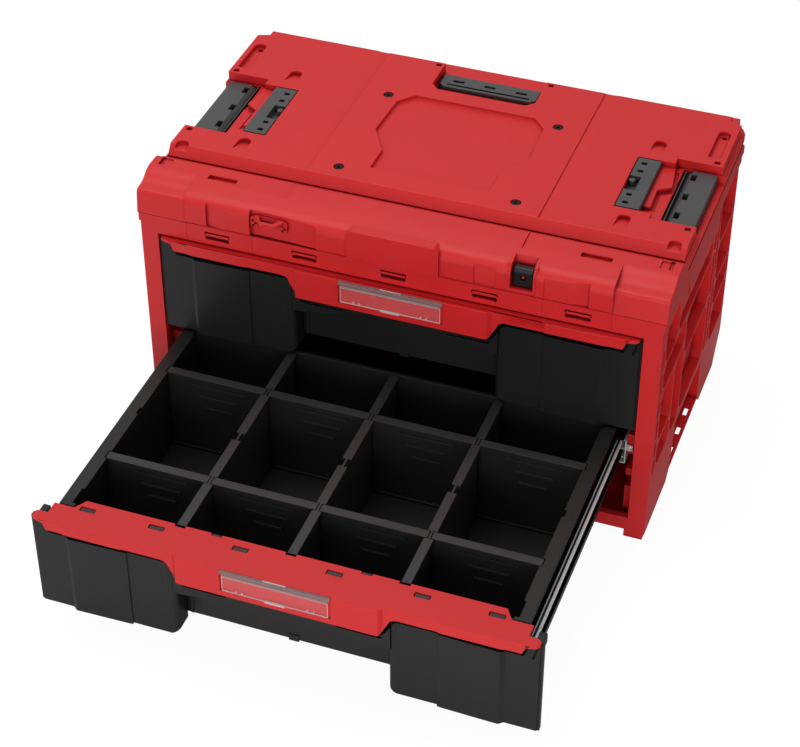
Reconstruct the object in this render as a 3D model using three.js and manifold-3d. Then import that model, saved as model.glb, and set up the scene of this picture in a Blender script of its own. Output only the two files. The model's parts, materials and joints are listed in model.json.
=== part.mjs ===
// A tool chest with two drawers on telescopic slides, under a lid whose deck takes other boxes.
// Sizes are in millimetres. X points right, the drawers face -Y and Z points up.
// The origin lies on the floor, under the middle of the case. The lower drawer stands open.

import * as THREE from 'three';
import { mergeVertices } from 'three/addons/utils/BufferGeometryUtils.js';
import Module from 'manifold-3d';

const wasm = await Module();
wasm.setup();

// Driving sizes of the whole chest

const caseWidth = 582;
const caseDepth = 362;
const housingHeight = 297.6;
const lidHeight = 38.8;
const jambWidth = 20;
const headerHeight = 22.6;
const sillHeight = 27;
const clearUnder = 10;
const frameThickness = 8;
const skin = 3;
const rearLipDepth = 9;

// Clearances and the overrun of cutting shapes

const seam = 0.3;
const slidingGap = 0.5;
const doorGap = 1;
const overrun = 20;
const mergeReach = 0.0001;

// Places that follow from the driving sizes

const halfCase = caseWidth / 2;
const frontY = -caseDepth / 2;
const backY = caseDepth / 2;
const openHalf = halfCase - jambWidth;
const openTop = housingHeight - headerHeight;
const deckHeight = housingHeight + lidHeight;
const housingBackY = backY - rearLipDepth;
const wallFrontY = frontY + frameThickness + seam;
const lidBottom = housingHeight + seam;

// The two drawers share the height of the opening.
const frontsGap = 0.8;
const drawerPitch = (openTop - sillHeight) / 2 - frontsGap;
const trimHeadroom = 0.7;
const trimTop = sillHeight + drawerPitch - trimHeadroom;

// Looks: colour, roughness and metalness

const looks = {
  redPlastic: { color: 0xc93234, roughness: 0.45, metalness: 0 },
  blackPlastic: { color: 0x2e2f2f, roughness: 0.5, metalness: 0 },
  greyPlastic: { color: 0x54585a, roughness: 0.5, metalness: 0 },
  darkPlastic: { color: 0x2f3133, roughness: 0.4, metalness: 0 },
  clearPlastic: { color: 0xe6d6d6, roughness: 0.1, metalness: 0 },
  zincSteel: { color: 0xc4c6c8, roughness: 0.3, metalness: 1 },
  blackSteel: { color: 0x1c1c1d, roughness: 0.45, metalness: 0.8 },
};

// Solids

const unitX = new THREE.Vector3(1, 0, 0);
const unitY = new THREE.Vector3(0, 1, 0);
const unitZ = new THREE.Vector3(0, 0, 1);
const axisFrames = {
  x: [unitY, unitZ, unitX],
  y: [unitZ, unitX, unitY],
  z: [unitX, unitY, unitZ],
};

// Turns a closed three.js geometry into a solid that can be joined and cut.
function solid(geometry) {
  geometry.deleteAttribute('normal');
  geometry.deleteAttribute('uv');
  const merged = mergeVertices(geometry, mergeReach);
  return new wasm.Manifold(new wasm.Mesh({
    numProp: 3,
    vertProperties: Float32Array.from(merged.attributes.position.array),
    triVerts: Uint32Array.from(merged.index.array),
  }));
}

function block(x0, x1, y0, y1, z0, z1) {
  const geometry = new THREE.BoxGeometry(x1 - x0, y1 - y0, z1 - z0);
  geometry.translate((x0 + x1) / 2, (y0 + y1) / 2, (z0 + z1) / 2);
  return solid(geometry);
}

// Pushes an outline along an axis. Its points are (y, z) for x, (x, z) for y and (x, y) for z.
function prism(axis, points, low, high) {
  const drawn = axis === 'y' ? points.map(([a, b]) => [b, a]) : points;
  const shape = new THREE.Shape(drawn.map(([a, b]) => new THREE.Vector2(a, b)));
  const geometry = new THREE.ExtrudeGeometry(shape, { depth: high - low, bevelEnabled: false });
  geometry.translate(0, 0, low);
  geometry.applyMatrix4(new THREE.Matrix4().makeBasis(...axisFrames[axis]));
  return solid(geometry);
}

function circle(a, b, radius, sides) {
  return Array.from({ length: sides }, (_, i) => {
    const turn = 2 * Math.PI * (i + 0.5) / sides;
    return [a + radius * Math.cos(turn), b + radius * Math.sin(turn)];
  });
}

// A rectangle whose four corners are cut off.
function octagon(a0, a1, b0, b1, corner) {
  const c = Math.min(corner, (a1 - a0) / 3, (b1 - b0) / 3);
  return [
    [a0 + c, b0], [a1 - c, b0], [a1, b0 + c], [a1, b1 - c],
    [a1 - c, b1], [a0 + c, b1], [a0, b1 - c], [a0, b0 + c],
  ];
}

// Completes the right half of an outline with its mirror image.
function symmetric(half) {
  const other = half.map(([a, b]) => [-a, b]).reverse();
  return [...half, ...other];
}

function join(first, ...others) {
  return others.reduce((sum, other) => sum.add(other), first);
}

function cut(body, ...tools) {
  return tools.reduce((rest, tool) => rest.subtract(tool), body);
}

function between(low, high, share) {
  return low + (high - low) * share;
}

// Gives a solid its name and look, mirrored to the left side where wanted.
function piece(name, shape, look, mirrored = false) {
  const { vertProperties, triVerts } = shape.getMesh();
  const geometry = new THREE.BufferGeometry();
  geometry.setAttribute('position', new THREE.BufferAttribute(Float32Array.from(vertProperties), 3));
  const order = Array.from(triVerts);
  if (mirrored) {
    geometry.scale(-1, 1, 1);
    order.reverse();
  }
  geometry.setIndex(order);
  geometry.computeVertexNormals();
  const mesh = new THREE.Mesh(geometry, new THREE.MeshStandardMaterial(looks[look]));
  mesh.name = name;
  return mesh;
}

// Telescopic slides: a cabinet member inside a middle member inside a drawer member

const slide = {
  thickness: 12.5,
  height: 23,
  sheet: 1.2,
  midDrop: 35,
  rearInset: 17,
  drawerFlange: 10,
  tabReach: 8,
  tabHeight: 8,
};

// Trays

const tray = {
  sideGap: 29,
  wall: 4.5,
  underGap: 13,
  floor: 4,
  topDrop: 1,
  rimWidth: 8,
  rimThickness: 3.5,
  padThickness: 3.7,
  frontInset: 24.6,
  rearInset: 14.4,
};
const trayHalf = openHalf - tray.sideGap;
const trayFrontY = frontY + tray.frontInset;
const trayBackY = housingBackY - tray.rearInset;
const slideInnerX = trayHalf + tray.padThickness + seam;
const slideOuterX = slideInnerX + slide.thickness;
const slideBackY = housingBackY - slide.rearInset;
const slideMidZ = trimTop - slide.midDrop;
const trayBottom = sillHeight + tray.underGap;
const trayTop = trimTop - tray.topDrop;

// Fully open, the tray's rear stays just behind the front frame.
const openRest = 10.6;
const travel = trayBackY - frontY - openRest;

// Drawer fronts and their trims

const front = {
  sideGap: 0.5,
  thickness: 7,
  faceInset: 0.6,
  gripHalf: 121,
  returnThickness: 3,
  proudInset: 35.6,
  proudWidth: 69.4,
  proud: 3,
  proudTopDrop: 29.5,
  proudDrop: 1.7,
  proudGap: 0.4,
  lipDrop: 61.5,
  lipThickness: 3,
  ribHeight: 40,
  ribFromSide: 28,
  hookInset: 0.6,
  hookWidth: 8,
  hookDrop: 7.5,
  hookHeight: 11.5,
};
const frontFaceY = frontY + front.faceInset;
const frontBackY = frontFaceY + front.thickness;
const frontHalf = openHalf - front.sideGap;
const frontBottom = sillHeight + doorGap;
const proudOuter = frontHalf - front.proudInset;
const proudInner = proudOuter - front.proudWidth;
const lipBottom = trimTop - front.lipDrop;

const trim = {
  plate: 3.5,
  proud: 6.6,
  bulge: 4.4,
  skirtHeight: 14.5,
  bulgeHeight: 35.5,
  bulgeHalf: 107,
  curveHalf: 125,
  skirtInset: 20.5,
  cornerInset: 14.5,
  endInset: 2.9,
  endDepth: 11,
  rearInset: 18,
  slantInset: 10,
  stepOutset: 4.5,
  rearOverlap: 11,
  slantDepth: 13,
  stepDepth: 7,
  windowWidth: 17,
  windowDepth: 6.5,
  windowFromRear: 9,
};
const trimFrontY = frontFaceY - trim.proud;
const trimRearY = trayFrontY + trim.rearOverlap;
const trimUnder = trimTop - trim.plate;
const skirtBottom = trimTop - trim.skirtHeight;
const bulgeBottom = trimTop - trim.bulgeHeight;
const trimRearHalf = trayHalf - trim.rearInset;
const trimSlantHalf = trayHalf - trim.slantInset;
const trimStepHalf = trayHalf + tray.rimWidth + trim.stepOutset;
const trimEndHalf = frontHalf - trim.endInset;
const skirtHalf = frontHalf - trim.skirtInset;
const windowPlaceShares = [-0.97, -0.63, -0.223, 0.223, 0.63, 0.97];

const label = {
  half: 56,
  thickness: 1.6,
  height: 20.4,
  pivotDrop: 6.1,
  rodRadius: 1.6,
  recessDepth: 1.5,
  recessHeight: 25,
  snapHalf: 10.5,
  snapDrop: 1.4,
};
const bulgeFaceY = trimFrontY - trim.bulge;
const recessFloorY = bulgeFaceY + label.recessDepth;
const pivotY = recessFloorY - slidingGap - label.rodRadius;
const pivotZ = trimTop - label.pivotDrop;
const labelBottom = pivotZ - label.height;

// Side walls with outer pockets, feet and inner mounting blocks

const wall = {
  depth: 17.5,
  ribInset: 2,
  stripHeight: 22.6,
  rimLip: 1.7,
  rimLipHeight: 10,
  footInset: 3.5,
  footSlope: 12,
  frontFootLength: 106,
  rearFootLength: 109,
  cornerRun: 22,
  cornerRise: 26,
  pocketCorner: 9,
  rib: 3.6,
  ledgeRoom: 55,
  slotCount: 3,
  slotSpacing: 36,
  slotLength: 15,
  slotWidth: 5,
  skirtStart: 108.7,
  skirtLength: 143,
  skirtSlant: 12,
  skirtHeight: 30,
  skirtThickness: 3.5,
  skirtProud: 1,
  bossSetback: 12,
  bossLength: 40,
  bossInset: 13.5,
  blockMargin: 2,
};
const wallInnerX = halfCase - wall.depth;
const wallOuterX = halfCase - wall.ribInset;
const wallSheetX = wallInnerX + skin;
const stripBottom = housingHeight - wall.stripHeight;
const footInnerX = openHalf - wall.footInset;
const floorTop = clearUnder + skin;
const rearFootY = housingBackY - wall.rearFootLength;
const skirtFrontY = wallFrontY + wall.skirtStart;
const skirtBackY = skirtFrontY + wall.skirtLength;
const bossRowShares = [[0.18, 0.445], [0.57, 0.65]];

// Each pocket of a side wall: front, rear, bottom and top, as shares of its length and height.
const wallPocketShares = [
  [0, 0.067, 0.255, 0.335], [0, 0.067, 0.335, 0.42], [0, 0.067, 0.42, 0.52],
  [0, 0.067, 0.52, 0.605], [0, 0.067, 0.605, 0.73], [0, 0.067, 0.73, 0.84],
  [0.067, 0.24, 0.73, 0.92], [0.24, 0.69, 0.73, 0.82],
  [0.067, 0.36, 0.605, 0.73], [0.36, 0.69, 0.52, 0.73],
  [0.067, 0.24, 0.375, 0.605], [0.24, 0.36, 0.255, 0.605], [0.36, 0.69, 0.255, 0.52],
  [0.067, 0.24, 0.255, 0.375],
  [0.69, 0.735, 0.255, 0.52], [0.69, 0.735, 0.52, 0.73], [0.69, 0.735, 0.73, 0.9],
  [0.735, 0.775, 0.255, 0.36], [0.735, 0.775, 0.36, 0.6], [0.735, 0.775, 0.6, 0.9],
  [0.775, 1, 0.22, 0.4], [0.775, 1, 0.4, 0.52], [0.775, 1, 0.52, 0.7], [0.775, 1, 0.7, 0.92],
];

function outerPockets() {
  const halfRib = wall.rib / 2;
  return wallPocketShares.map(([front0, rear0, low, high]) => prism('x', octagon(
    between(wallFrontY, housingBackY, front0) + halfRib,
    between(wallFrontY, housingBackY, rear0) - halfRib,
    housingHeight * low + halfRib,
    housingHeight * high - halfRib,
    wall.pocketCorner,
  ), wallSheetX, wallOuterX + overrun));
}

function wallBody() {
  const lower = [
    [wallFrontY, clearUnder],
    [housingBackY - wall.cornerRun, clearUnder],
    [housingBackY, clearUnder + wall.cornerRise],
    [housingBackY, housingHeight],
    [wallFrontY, housingHeight],
  ];
  return join(
    prism('x', lower, wallInnerX, wallOuterX),
    block(wallInnerX, halfCase, wallFrontY, housingBackY, stripBottom, housingHeight),
    block(wallInnerX, halfCase + wall.rimLip, wallFrontY, housingBackY,
      housingHeight - wall.rimLipHeight, housingHeight),
  );
}

function wallFeet() {
  const frontEnd = wallFrontY + wall.frontFootLength;
  const rearEnd = housingBackY - wall.cornerRun;
  const frontOutline = top => [
    [wallFrontY, 0], [frontEnd - wall.footSlope, 0], [frontEnd, top], [wallFrontY, top],
  ];
  const rearOutline = top => [
    [rearFootY + wall.footSlope, 0], [rearEnd - wall.footSlope / 2, 0],
    [rearEnd, top], [rearFootY, top],
  ];
  const under = clearUnder - seam;
  return [
    prism('x', frontOutline(under), footInnerX, wallOuterX),
    prism('x', frontOutline(floorTop), wallInnerX, wallOuterX),
    prism('x', rearOutline(under), footInnerX, wallOuterX),
    prism('x', rearOutline(clearUnder + seam), wallInnerX, wallOuterX),
  ];
}

// The open bay between the feet, with a slotted ledge along its bottom.
function ledgeCuts() {
  const bayFront = wallFrontY + wall.frontFootLength;
  const bay = prism('x', [
    [bayFront, floorTop],
    [rearFootY, floorTop],
    [rearFootY, floorTop + wall.ledgeRoom],
    [bayFront + wall.footSlope, floorTop + wall.ledgeRoom],
  ], wallSheetX, wallOuterX + overrun);
  const middleY = (bayFront + rearFootY) / 2;
  const middleX = (wallSheetX + wallOuterX) / 2;
  const slots = Array.from({ length: wall.slotCount }, (_, i) => {
    const y = middleY + wall.slotSpacing * (i - (wall.slotCount - 1) / 2);
    return block(
      middleX - wall.slotWidth / 2, middleX + wall.slotWidth / 2,
      y - wall.slotLength / 2, y + wall.slotLength / 2,
      -overrun, floorTop + overrun,
    );
  });
  return [bay, ...slots];
}

function hangingSkirt() {
  const low = stripBottom - wall.skirtHeight;
  const outer = wallOuterX + wall.skirtProud;
  return prism('x', [
    [skirtFrontY, stripBottom + skin],
    [skirtFrontY + wall.skirtSlant, low],
    [skirtBackY, low],
    [skirtBackY, stripBottom + skin],
  ], outer - wall.skirtThickness, outer);
}

// Blocks inside the wall: a long one that carries each slide and short bosses near the front.
function mountingBlocks() {
  const start = wallFrontY + wall.bossSetback;
  const slideBlock = base => block(
    slideOuterX + seam, wallSheetX, start, slideBackY,
    base + slideMidZ - slide.height / 2 - wall.blockMargin,
    base + slideMidZ + slide.height / 2 + wall.blockMargin,
  );
  const boss = (base, [low, high]) => block(
    wallInnerX - wall.bossInset, wallSheetX, start, start + wall.bossLength,
    base + drawerPitch * low, base + drawerPitch * high,
  );
  return [0, drawerPitch].flatMap(base => [
    slideBlock(base),
    ...bossRowShares.map(row => boss(base, row)),
  ]);
}

function sideWall() {
  const shell = cut(join(wallBody(), ...wallFeet()), ...outerPockets(), ...ledgeCuts());
  return join(shell, hangingSkirt(), ...mountingBlocks());
}

// Front frame: jambs, vented header, bottom rail and the two front feet

const vent = {
  count: 5,
  spacing: 100.4,
  width: 27,
  height: 4.5,
  rise: 6.5,
  corner: 1.6,
  upperRise: 14,
  upperHeight: 2,
  upperWidth: 28.5,
  upperDepth: 2,
};
const footTaper = 2.5;
const footTaperHeight = 12;

function frontFrame() {
  const outline = symmetric([
    [footInnerX, clearUnder],
    [footInnerX, 0],
    [halfCase - footTaper, 0],
    [halfCase, footTaperHeight],
    [halfCase, housingHeight],
  ]);
  const backFace = frontY + frameThickness;
  const lipHalf = halfCase + wall.rimLip;
  const plate = join(
    prism('y', outline, frontY, backFace),
    block(-lipHalf, lipHalf, frontY, backFace, housingHeight - wall.rimLipHeight, housingHeight),
  );
  const opening = block(-openHalf, openHalf, frontY - overrun, backFace + overrun,
    sillHeight, openTop);
  const vents = Array.from({ length: vent.count }, (_, i) => {
    const x = vent.spacing * (i - (vent.count - 1) / 2);
    const lower = prism('y', octagon(
      x - vent.width / 2, x + vent.width / 2,
      openTop + vent.rise, openTop + vent.rise + vent.height, vent.corner,
    ), frontY - overrun, backFace + overrun);
    const upper = block(
      x - vent.upperWidth / 2, x + vent.upperWidth / 2, frontY - overrun, frontY + vent.upperDepth,
      openTop + vent.upperRise, openTop + vent.upperRise + vent.upperHeight,
    );
    return [lower, upper];
  });
  return cut(plate, opening, ...vents.flat());
}

// Floor and rear wall

const rear = {
  thickness: 8,
  pocketDepth: 4,
  pocketCorner: 12,
};
const rearPocketShares = [[-0.93, -0.35], [-0.3, 0.3], [0.35, 0.93]];
const rearPocketHeightShares = [0.17, 0.86];
const floorBackY = housingBackY - wall.cornerRun - rear.thickness;

function floorPanel() {
  const half = wallInnerX - seam;
  return block(-half, half, wallFrontY, floorBackY - seam, clearUnder, floorTop);
}

function rearWall() {
  const half = wallInnerX - seam;
  const body = prism('x', [
    [floorBackY, clearUnder],
    [housingBackY - wall.cornerRun, clearUnder],
    [housingBackY, clearUnder + wall.cornerRise],
    [housingBackY, housingHeight],
    [housingBackY - rear.thickness, housingHeight],
    [housingBackY - rear.thickness, clearUnder + wall.cornerRise],
  ], -half, half);
  const [low, high] = rearPocketHeightShares;
  const pockets = rearPocketShares.map(([left, right]) => prism('y', octagon(
    half * left, half * right, housingHeight * low, housingHeight * high, rear.pocketCorner,
  ), housingBackY - rear.pocketDepth, housingBackY + overrun));
  return cut(body, ...pockets);
}

// Lid: frame, front band and deck plate

const lid = {
  overhang: 3,
  rim: 6,
  roof: 3.3,
  cornerAcross: 11,
  cornerAlong: 12,
  lipDrop: 17.6,
  grooveDepth: 1.5,
  grooveLow: 10,
  grooveHigh: 14,
  edgeChamfer: 3,
  wellFloor: 3,
  wellDepth: 11.3,
};
const deck = {
  thickness: 11.1,
  inset: 0.5,
  rearInset: 17,
  rearCornerHalf: 277,
  rearCornerRun: 14,
  rearCornerStep: 9,
  skirtRun: 9,
};
const band = {
  depth: 75,
  proud: 2,
  middleInset: 57.5,
};
const bandBackY = frontY + band.depth;
const lidHalf = halfCase + lid.overhang;
const deckBottom = deckHeight - deck.thickness;
const lidTop = deckBottom - seam;
const wellBottom = deckBottom - lid.wellDepth;
const bandHeight = deckHeight - lidBottom;
const lidFrontY = bandBackY + seam;
const bandMiddleHalf = lidHalf - band.middleInset;
const deckHalf = halfCase - deck.inset;
const deckBackY = backY - deck.rearInset;
const deckFrontTopY = bandBackY + seam + deck.skirtRun;

// The side connectors are centred at this place along the deck.
const connectorShare = 0.4;
const connectorY = bandBackY + (deckBackY - bandBackY) * connectorShare;

// Connectors in the deck: outer bars, inner plates and the rear bar

const outerBar = {
  inset: 4.5,
  width: 35,
  length: 112,
  topDrop: 10.2,
  slotSpacing: 38,
  slotWidth: 6,
  slotLength: 13,
  slotFromInner: 13,
  slotDepth: 5,
  grooveFromInner: 5,
  grooveWidth: 4,
  grooveDepth: 2.5,
};
const outerBarX1 = deckHalf - outerBar.inset;
const outerBarX0 = outerBarX1 - outerBar.width;
const outerBarY0 = connectorY - outerBar.length / 2;
const outerBarY1 = connectorY + outerBar.length / 2;
const outerBarTop = deckHeight - outerBar.topDrop;

const innerPlate = {
  inset: 65,
  width: 25.9,
  frontReach: 49,
  backReach: 47.5,
  holeFromInner: 10.7,
  holeSize: 6,
  holeDepth: 6,
  biteDepth: 12.4,
  biteFront: 16,
  biteBack: 11.5,
};
const innerHoleShares = [0.07, 0.24, 0.73, 0.91];
const innerPlateX1 = deckHalf - innerPlate.inset;
const innerPlateX0 = innerPlateX1 - innerPlate.width;
const innerPlateY0 = connectorY - innerPlate.frontReach;
const innerPlateY1 = connectorY + innerPlate.backReach;

const rearBar = {
  half: 57.4,
  depth: 25,
  fromBack: 11,
  topDrop: 7.4,
  slotSpacing: 37.5,
  slotWidth: 13,
  slotLength: 4.5,
  slotFromFront: 14,
  slotDepth: 5,
  grooveHalf: 49,
  grooveFromFront: 5,
  grooveWidth: 3,
  grooveDepth: 2.5,
};
const rearBarY1 = deckBackY - rearBar.fromBack;
const rearBarY0 = rearBarY1 - rearBar.depth;
const rearBarTop = deckHeight - rearBar.topDrop;

const notch = {
  outerInset: 50.5,
  outerMargin: 4,
  innerMargin: 0.8,
  innerEndMargin: 1.5,
  rearSideMargin: 3.6,
  rearFrontMargin: 11,
  rearCorner: 10,
};
const wellMargin = 2.5;

function lidWells(low, high, spread) {
  const side = block(
    outerBarX0 - wellMargin - spread, lidHalf + spread * overrun,
    outerBarY0 - wellMargin - spread, outerBarY1 + wellMargin + spread, low, high,
  );
  const otherSide = block(
    -lidHalf - spread * overrun, -outerBarX0 + wellMargin + spread,
    outerBarY0 - wellMargin - spread, outerBarY1 + wellMargin + spread, low, high,
  );
  const back = block(
    -rearBar.half - wellMargin - spread, rearBar.half + wellMargin + spread,
    rearBarY0 - wellMargin - spread, rearBarY1 + wellMargin + spread, low, high,
  );
  return [side, otherSide, back];
}

function lidOutline(half, back) {
  const step = backY - lid.cornerAlong;
  return symmetric([
    [half, lidFrontY],
    [half, step - lid.cornerAlong],
    [half - lid.cornerAcross, step],
    [half - lid.cornerAcross, back],
  ]);
}

function lidFrame() {
  const body = prism('z', lidOutline(lidHalf, backY), lidBottom, lidTop);
  const lipHalf = lidHalf - lid.cornerAcross;
  const lip = block(-lipHalf, lipHalf, housingBackY + seam, backY,
    lidBottom - lid.lipDrop, lidBottom + skin);
  const cavityHalf = lidHalf - lid.rim;
  const cavity = block(-cavityHalf, cavityHalf, lidFrontY + skin, housingBackY - lid.rim,
    lidBottom - overrun, lidTop - lid.roof);
  const grooves = [-1, 1].map(side => block(
    Math.min(side * (lidHalf - lid.grooveDepth), side * (lidHalf + overrun)),
    Math.max(side * (lidHalf - lid.grooveDepth), side * (lidHalf + overrun)),
    lidFrontY + lid.rim, housingBackY - lid.cornerAlong,
    lidBottom + lid.grooveLow, lidBottom + lid.grooveHigh,
  ));
  const edges = [-1, 1].map(side => prism('y', [
    [side * (lidHalf - lid.edgeChamfer), lidTop],
    [side * (lidHalf + overrun), lidTop],
    [side * (lidHalf + overrun), lidTop - lid.edgeChamfer],
    [side * lidHalf, lidTop - lid.edgeChamfer],
  ], lidFrontY - overrun, backY + overrun));
  const hollow = cut(join(body, lip), cavity);
  const floors = lidWells(wellBottom - lid.wellFloor, lidTop, 1)
    .map(well => well.intersect(body));
  const pockets = lidWells(wellBottom, deckHeight, 0);
  const screwHoles = deckScrewPlaces().map(([x, y]) => prism(
    'z', circle(x, y, screw.shank + slidingGap, screw.sides), lidBottom - overrun, deckHeight));
  return cut(join(hollow, ...floors), ...pockets, ...grooves, ...edges, ...screwHoles);
}

// Front band: its end profile and the prouder middle, as shares of its depth and height.
const bandProfileShares = [
  [0, 0], [0.04, 0.72], [0.25, 0.77], [0.42, 1], [0.74, 1], [0.893, 0.78], [1, 0.68], [1, 0],
];
const bandMiddleShares = [[0, 0], [0.04, 0.89], [0.42, 1], [0.42, 0]];
const bandHollowShares = [
  [0.12, -0.5], [0.12, 0.55], [0.3, 0.62], [0.47, 0.85], [0.7, 0.85], [0.86, 0.62],
  [0.93, 0.52], [0.93, -0.5],
];
const bandDetail = {
  slotInset: 70,
  slotWidth: 33,
  slotFront: 33,
  slotBack: 41,
  slotDepth: 4,
  pocketInset: 82,
  pocketWidth: 23,
  pocketBottom: 1.5,
  pocketTopInset: 5.5,
  pocketDepth: 3,
  plaqueHalf: 51,
  plaqueBottom: 2.5,
  plaqueTopInset: 1.5,
  plaqueCorner: 5,
  plaqueProud: 2.5,
  plaqueDepth: 12,
  panelLeft: 87.5,
  panelRight: 112,
  panelBottom: 2.5,
  panelTopInset: 5.5,
  panelDepth: 1,
  panelCorner: 3,
  endWall: 6,
  lockWall: 4,
};
const eye = {
  recessLeft: -161,
  recessRight: -84,
  recessBottom: 5.5,
  recessTopInset: 2.5,
  recessDepth: 8,
  recessCorner: 9,
  centre: -139,
  backHalf: 16.5,
  frontHalf: 9,
  holeBackHalf: 10,
  holeFrontHalf: 6.5,
  reach: 14.5,
  holeFront: 4,
  holeBack: 11,
  plateTop: 28,
  plateThickness: 4,
  earWidth: 5,
  earHeight: 9,
  earDepth: 5,
};
const lock = {
  left: 126.5,
  right: 154.5,
  bottom: 7,
  top: 60,
  depth: 22,
  button: 20,
  buttonHeight: 20,
  buttonRise: 2,
  buttonInset: 2,
  buttonDepth: 13,
  bevel: 3,
  stemRadius: 5,
  stemLength: 14,
  stemGap: 0.4,
  dialRadius: 3.5,
  dialDepth: 1,
  sides: 24,
};
const bandFaceY = frontY - band.proud;

function bandPoints(shares, start) {
  return shares.map(([along, up]) => [
    between(start, bandBackY, along), lidBottom + bandHeight * up,
  ]);
}

function mirrorPair(make) {
  return [make(1), make(-1)];
}

function sidedBlock(side, inner, outer, y0, y1, z0, z1) {
  return block(Math.min(side * inner, side * outer), Math.max(side * inner, side * outer),
    y0, y1, z0, z1);
}

function frontBand() {
  const outside = join(
    prism('x', bandPoints(bandProfileShares, frontY), -lidHalf, lidHalf),
    prism('x', bandPoints(bandMiddleShares, bandFaceY), -bandMiddleHalf, bandMiddleHalf),
  );
  const hollow = prism('x', bandPoints(bandHollowShares, frontY),
    -lidHalf + bandDetail.endWall, lidHalf - bandDetail.endWall);
  const thick = bandDetail.lockWall;
  const lockHousing = block(
    lock.left - thick, lock.right + thick, frontY, frontY + lock.depth + thick,
    lidBottom, deckHeight).intersect(outside);
  const eyeBacking = block(
    eye.recessLeft - thick, eye.recessRight + thick, frontY,
    bandFaceY + eye.recessDepth + thick, lidBottom, deckHeight).intersect(outside);
  const plaqueTop = deckHeight - bandDetail.plaqueTopInset;
  const plaque = prism('y', symmetric([
    [bandDetail.plaqueHalf, lidBottom + bandDetail.plaqueBottom],
    [bandDetail.plaqueHalf, plaqueTop - bandDetail.plaqueCorner],
    [bandDetail.plaqueHalf - bandDetail.plaqueCorner, plaqueTop],
  ]), bandFaceY - bandDetail.plaqueProud, bandFaceY + bandDetail.plaqueDepth);
  const shell = join(cut(outside, hollow), lockHousing, eyeBacking, plaque);
  return cut(shell, ...bandCuts());
}

function bandCuts() {
  const topSlots = mirrorPair(side => sidedBlock(
    side, lidHalf - bandDetail.slotInset - bandDetail.slotWidth, lidHalf - bandDetail.slotInset,
    frontY + bandDetail.slotFront, frontY + bandDetail.slotBack,
    deckHeight - bandDetail.slotDepth, deckHeight + overrun));
  const facePockets = mirrorPair(side => sidedBlock(
    side, lidHalf - bandDetail.pocketInset - bandDetail.pocketWidth,
    lidHalf - bandDetail.pocketInset,
    bandFaceY - overrun, bandFaceY + bandDetail.pocketDepth,
    lidBottom + bandDetail.pocketBottom, deckHeight - bandDetail.pocketTopInset));
  const smallPanel = prism('y', octagon(
    bandDetail.panelLeft, bandDetail.panelRight,
    lidBottom + bandDetail.panelBottom, deckHeight - bandDetail.panelTopInset,
    bandDetail.panelCorner,
  ), bandFaceY - overrun, bandFaceY + bandDetail.panelDepth);
  const eyeRecessTop = deckHeight - eye.recessTopInset;
  const eyeRecess = prism('y', [
    [eye.recessLeft, lidBottom + eye.recessBottom],
    [eye.recessRight, lidBottom + eye.recessBottom],
    [eye.recessRight, eyeRecessTop - eye.recessCorner],
    [eye.recessRight - eye.recessCorner, eyeRecessTop],
    [eye.recessLeft, eyeRecessTop],
  ], bandFaceY - overrun, bandFaceY + eye.recessDepth);
  const lockPocket = block(lock.left, lock.right, bandFaceY - overrun, frontY + lock.depth,
    lidBottom + lock.bottom, lidBottom + lock.top);
  const stemHole = prism('y', circle(
    lockCentreX, lockCentreZ, lock.stemRadius + lock.stemGap, lock.sides,
  ), frontY, frontY + lock.depth + overrun);
  return [...topSlots, ...facePockets, smallPanel, eyeRecess, lockPocket, stemHole];
}

const lockCentreX = (lock.left + lock.right) / 2;
const lockCentreZ = lidBottom + lock.bottom + lock.buttonRise + lock.buttonHeight / 2;

function lockButton() {
  const half = lock.button / 2;
  const low = lockCentreZ - lock.buttonHeight / 2;
  const high = lockCentreZ + lock.buttonHeight / 2;
  const face = frontY + lock.buttonInset;
  const head = prism('x', [
    [face, low],
    [face, high - lock.bevel],
    [face + lock.bevel, high],
    [face + lock.buttonDepth, high],
    [face + lock.buttonDepth, low],
  ], lockCentreX - half, lockCentreX + half);
  const stem = prism('y', circle(lockCentreX, lockCentreZ, lock.stemRadius, lock.sides),
    face + lock.buttonDepth - lock.bevel, face + lock.buttonDepth + lock.stemLength);
  const dial = prism('y', circle(lockCentreX, lockCentreZ, lock.dialRadius, lock.sides),
    face - overrun, face + lock.dialDepth);
  return cut(join(head, stem), dial);
}

function padlockEye() {
  const back = bandFaceY + eye.recessDepth - seam;
  const tip = back - eye.reach;
  const top = lidBottom + eye.plateTop;
  const low = top - eye.plateThickness;
  const plate = prism('z', [
    [eye.centre - eye.backHalf, back],
    [eye.centre - eye.backHalf, back - eye.holeFront],
    [eye.centre - eye.frontHalf, tip],
    [eye.centre + eye.frontHalf, tip],
    [eye.centre + eye.backHalf, back - eye.holeFront],
    [eye.centre + eye.backHalf, back],
  ], low, top);
  const hole = prism('z', [
    [eye.centre - eye.holeBackHalf, back - eye.holeFront],
    [eye.centre - eye.holeFrontHalf, back - eye.holeBack],
    [eye.centre + eye.holeFrontHalf, back - eye.holeBack],
    [eye.centre + eye.holeBackHalf, back - eye.holeFront],
  ], low - overrun, top + overrun);
  const ears = mirrorPair(side => {
    const outer = eye.centre + side * eye.backHalf;
    const inner = eye.centre + side * (eye.backHalf - eye.earWidth);
    return block(Math.min(inner, outer), Math.max(inner, outer),
      back - eye.earDepth, back, low - eye.earHeight, top);
  });
  return join(cut(plate, hole), ...ears);
}

// Deck plate

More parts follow.
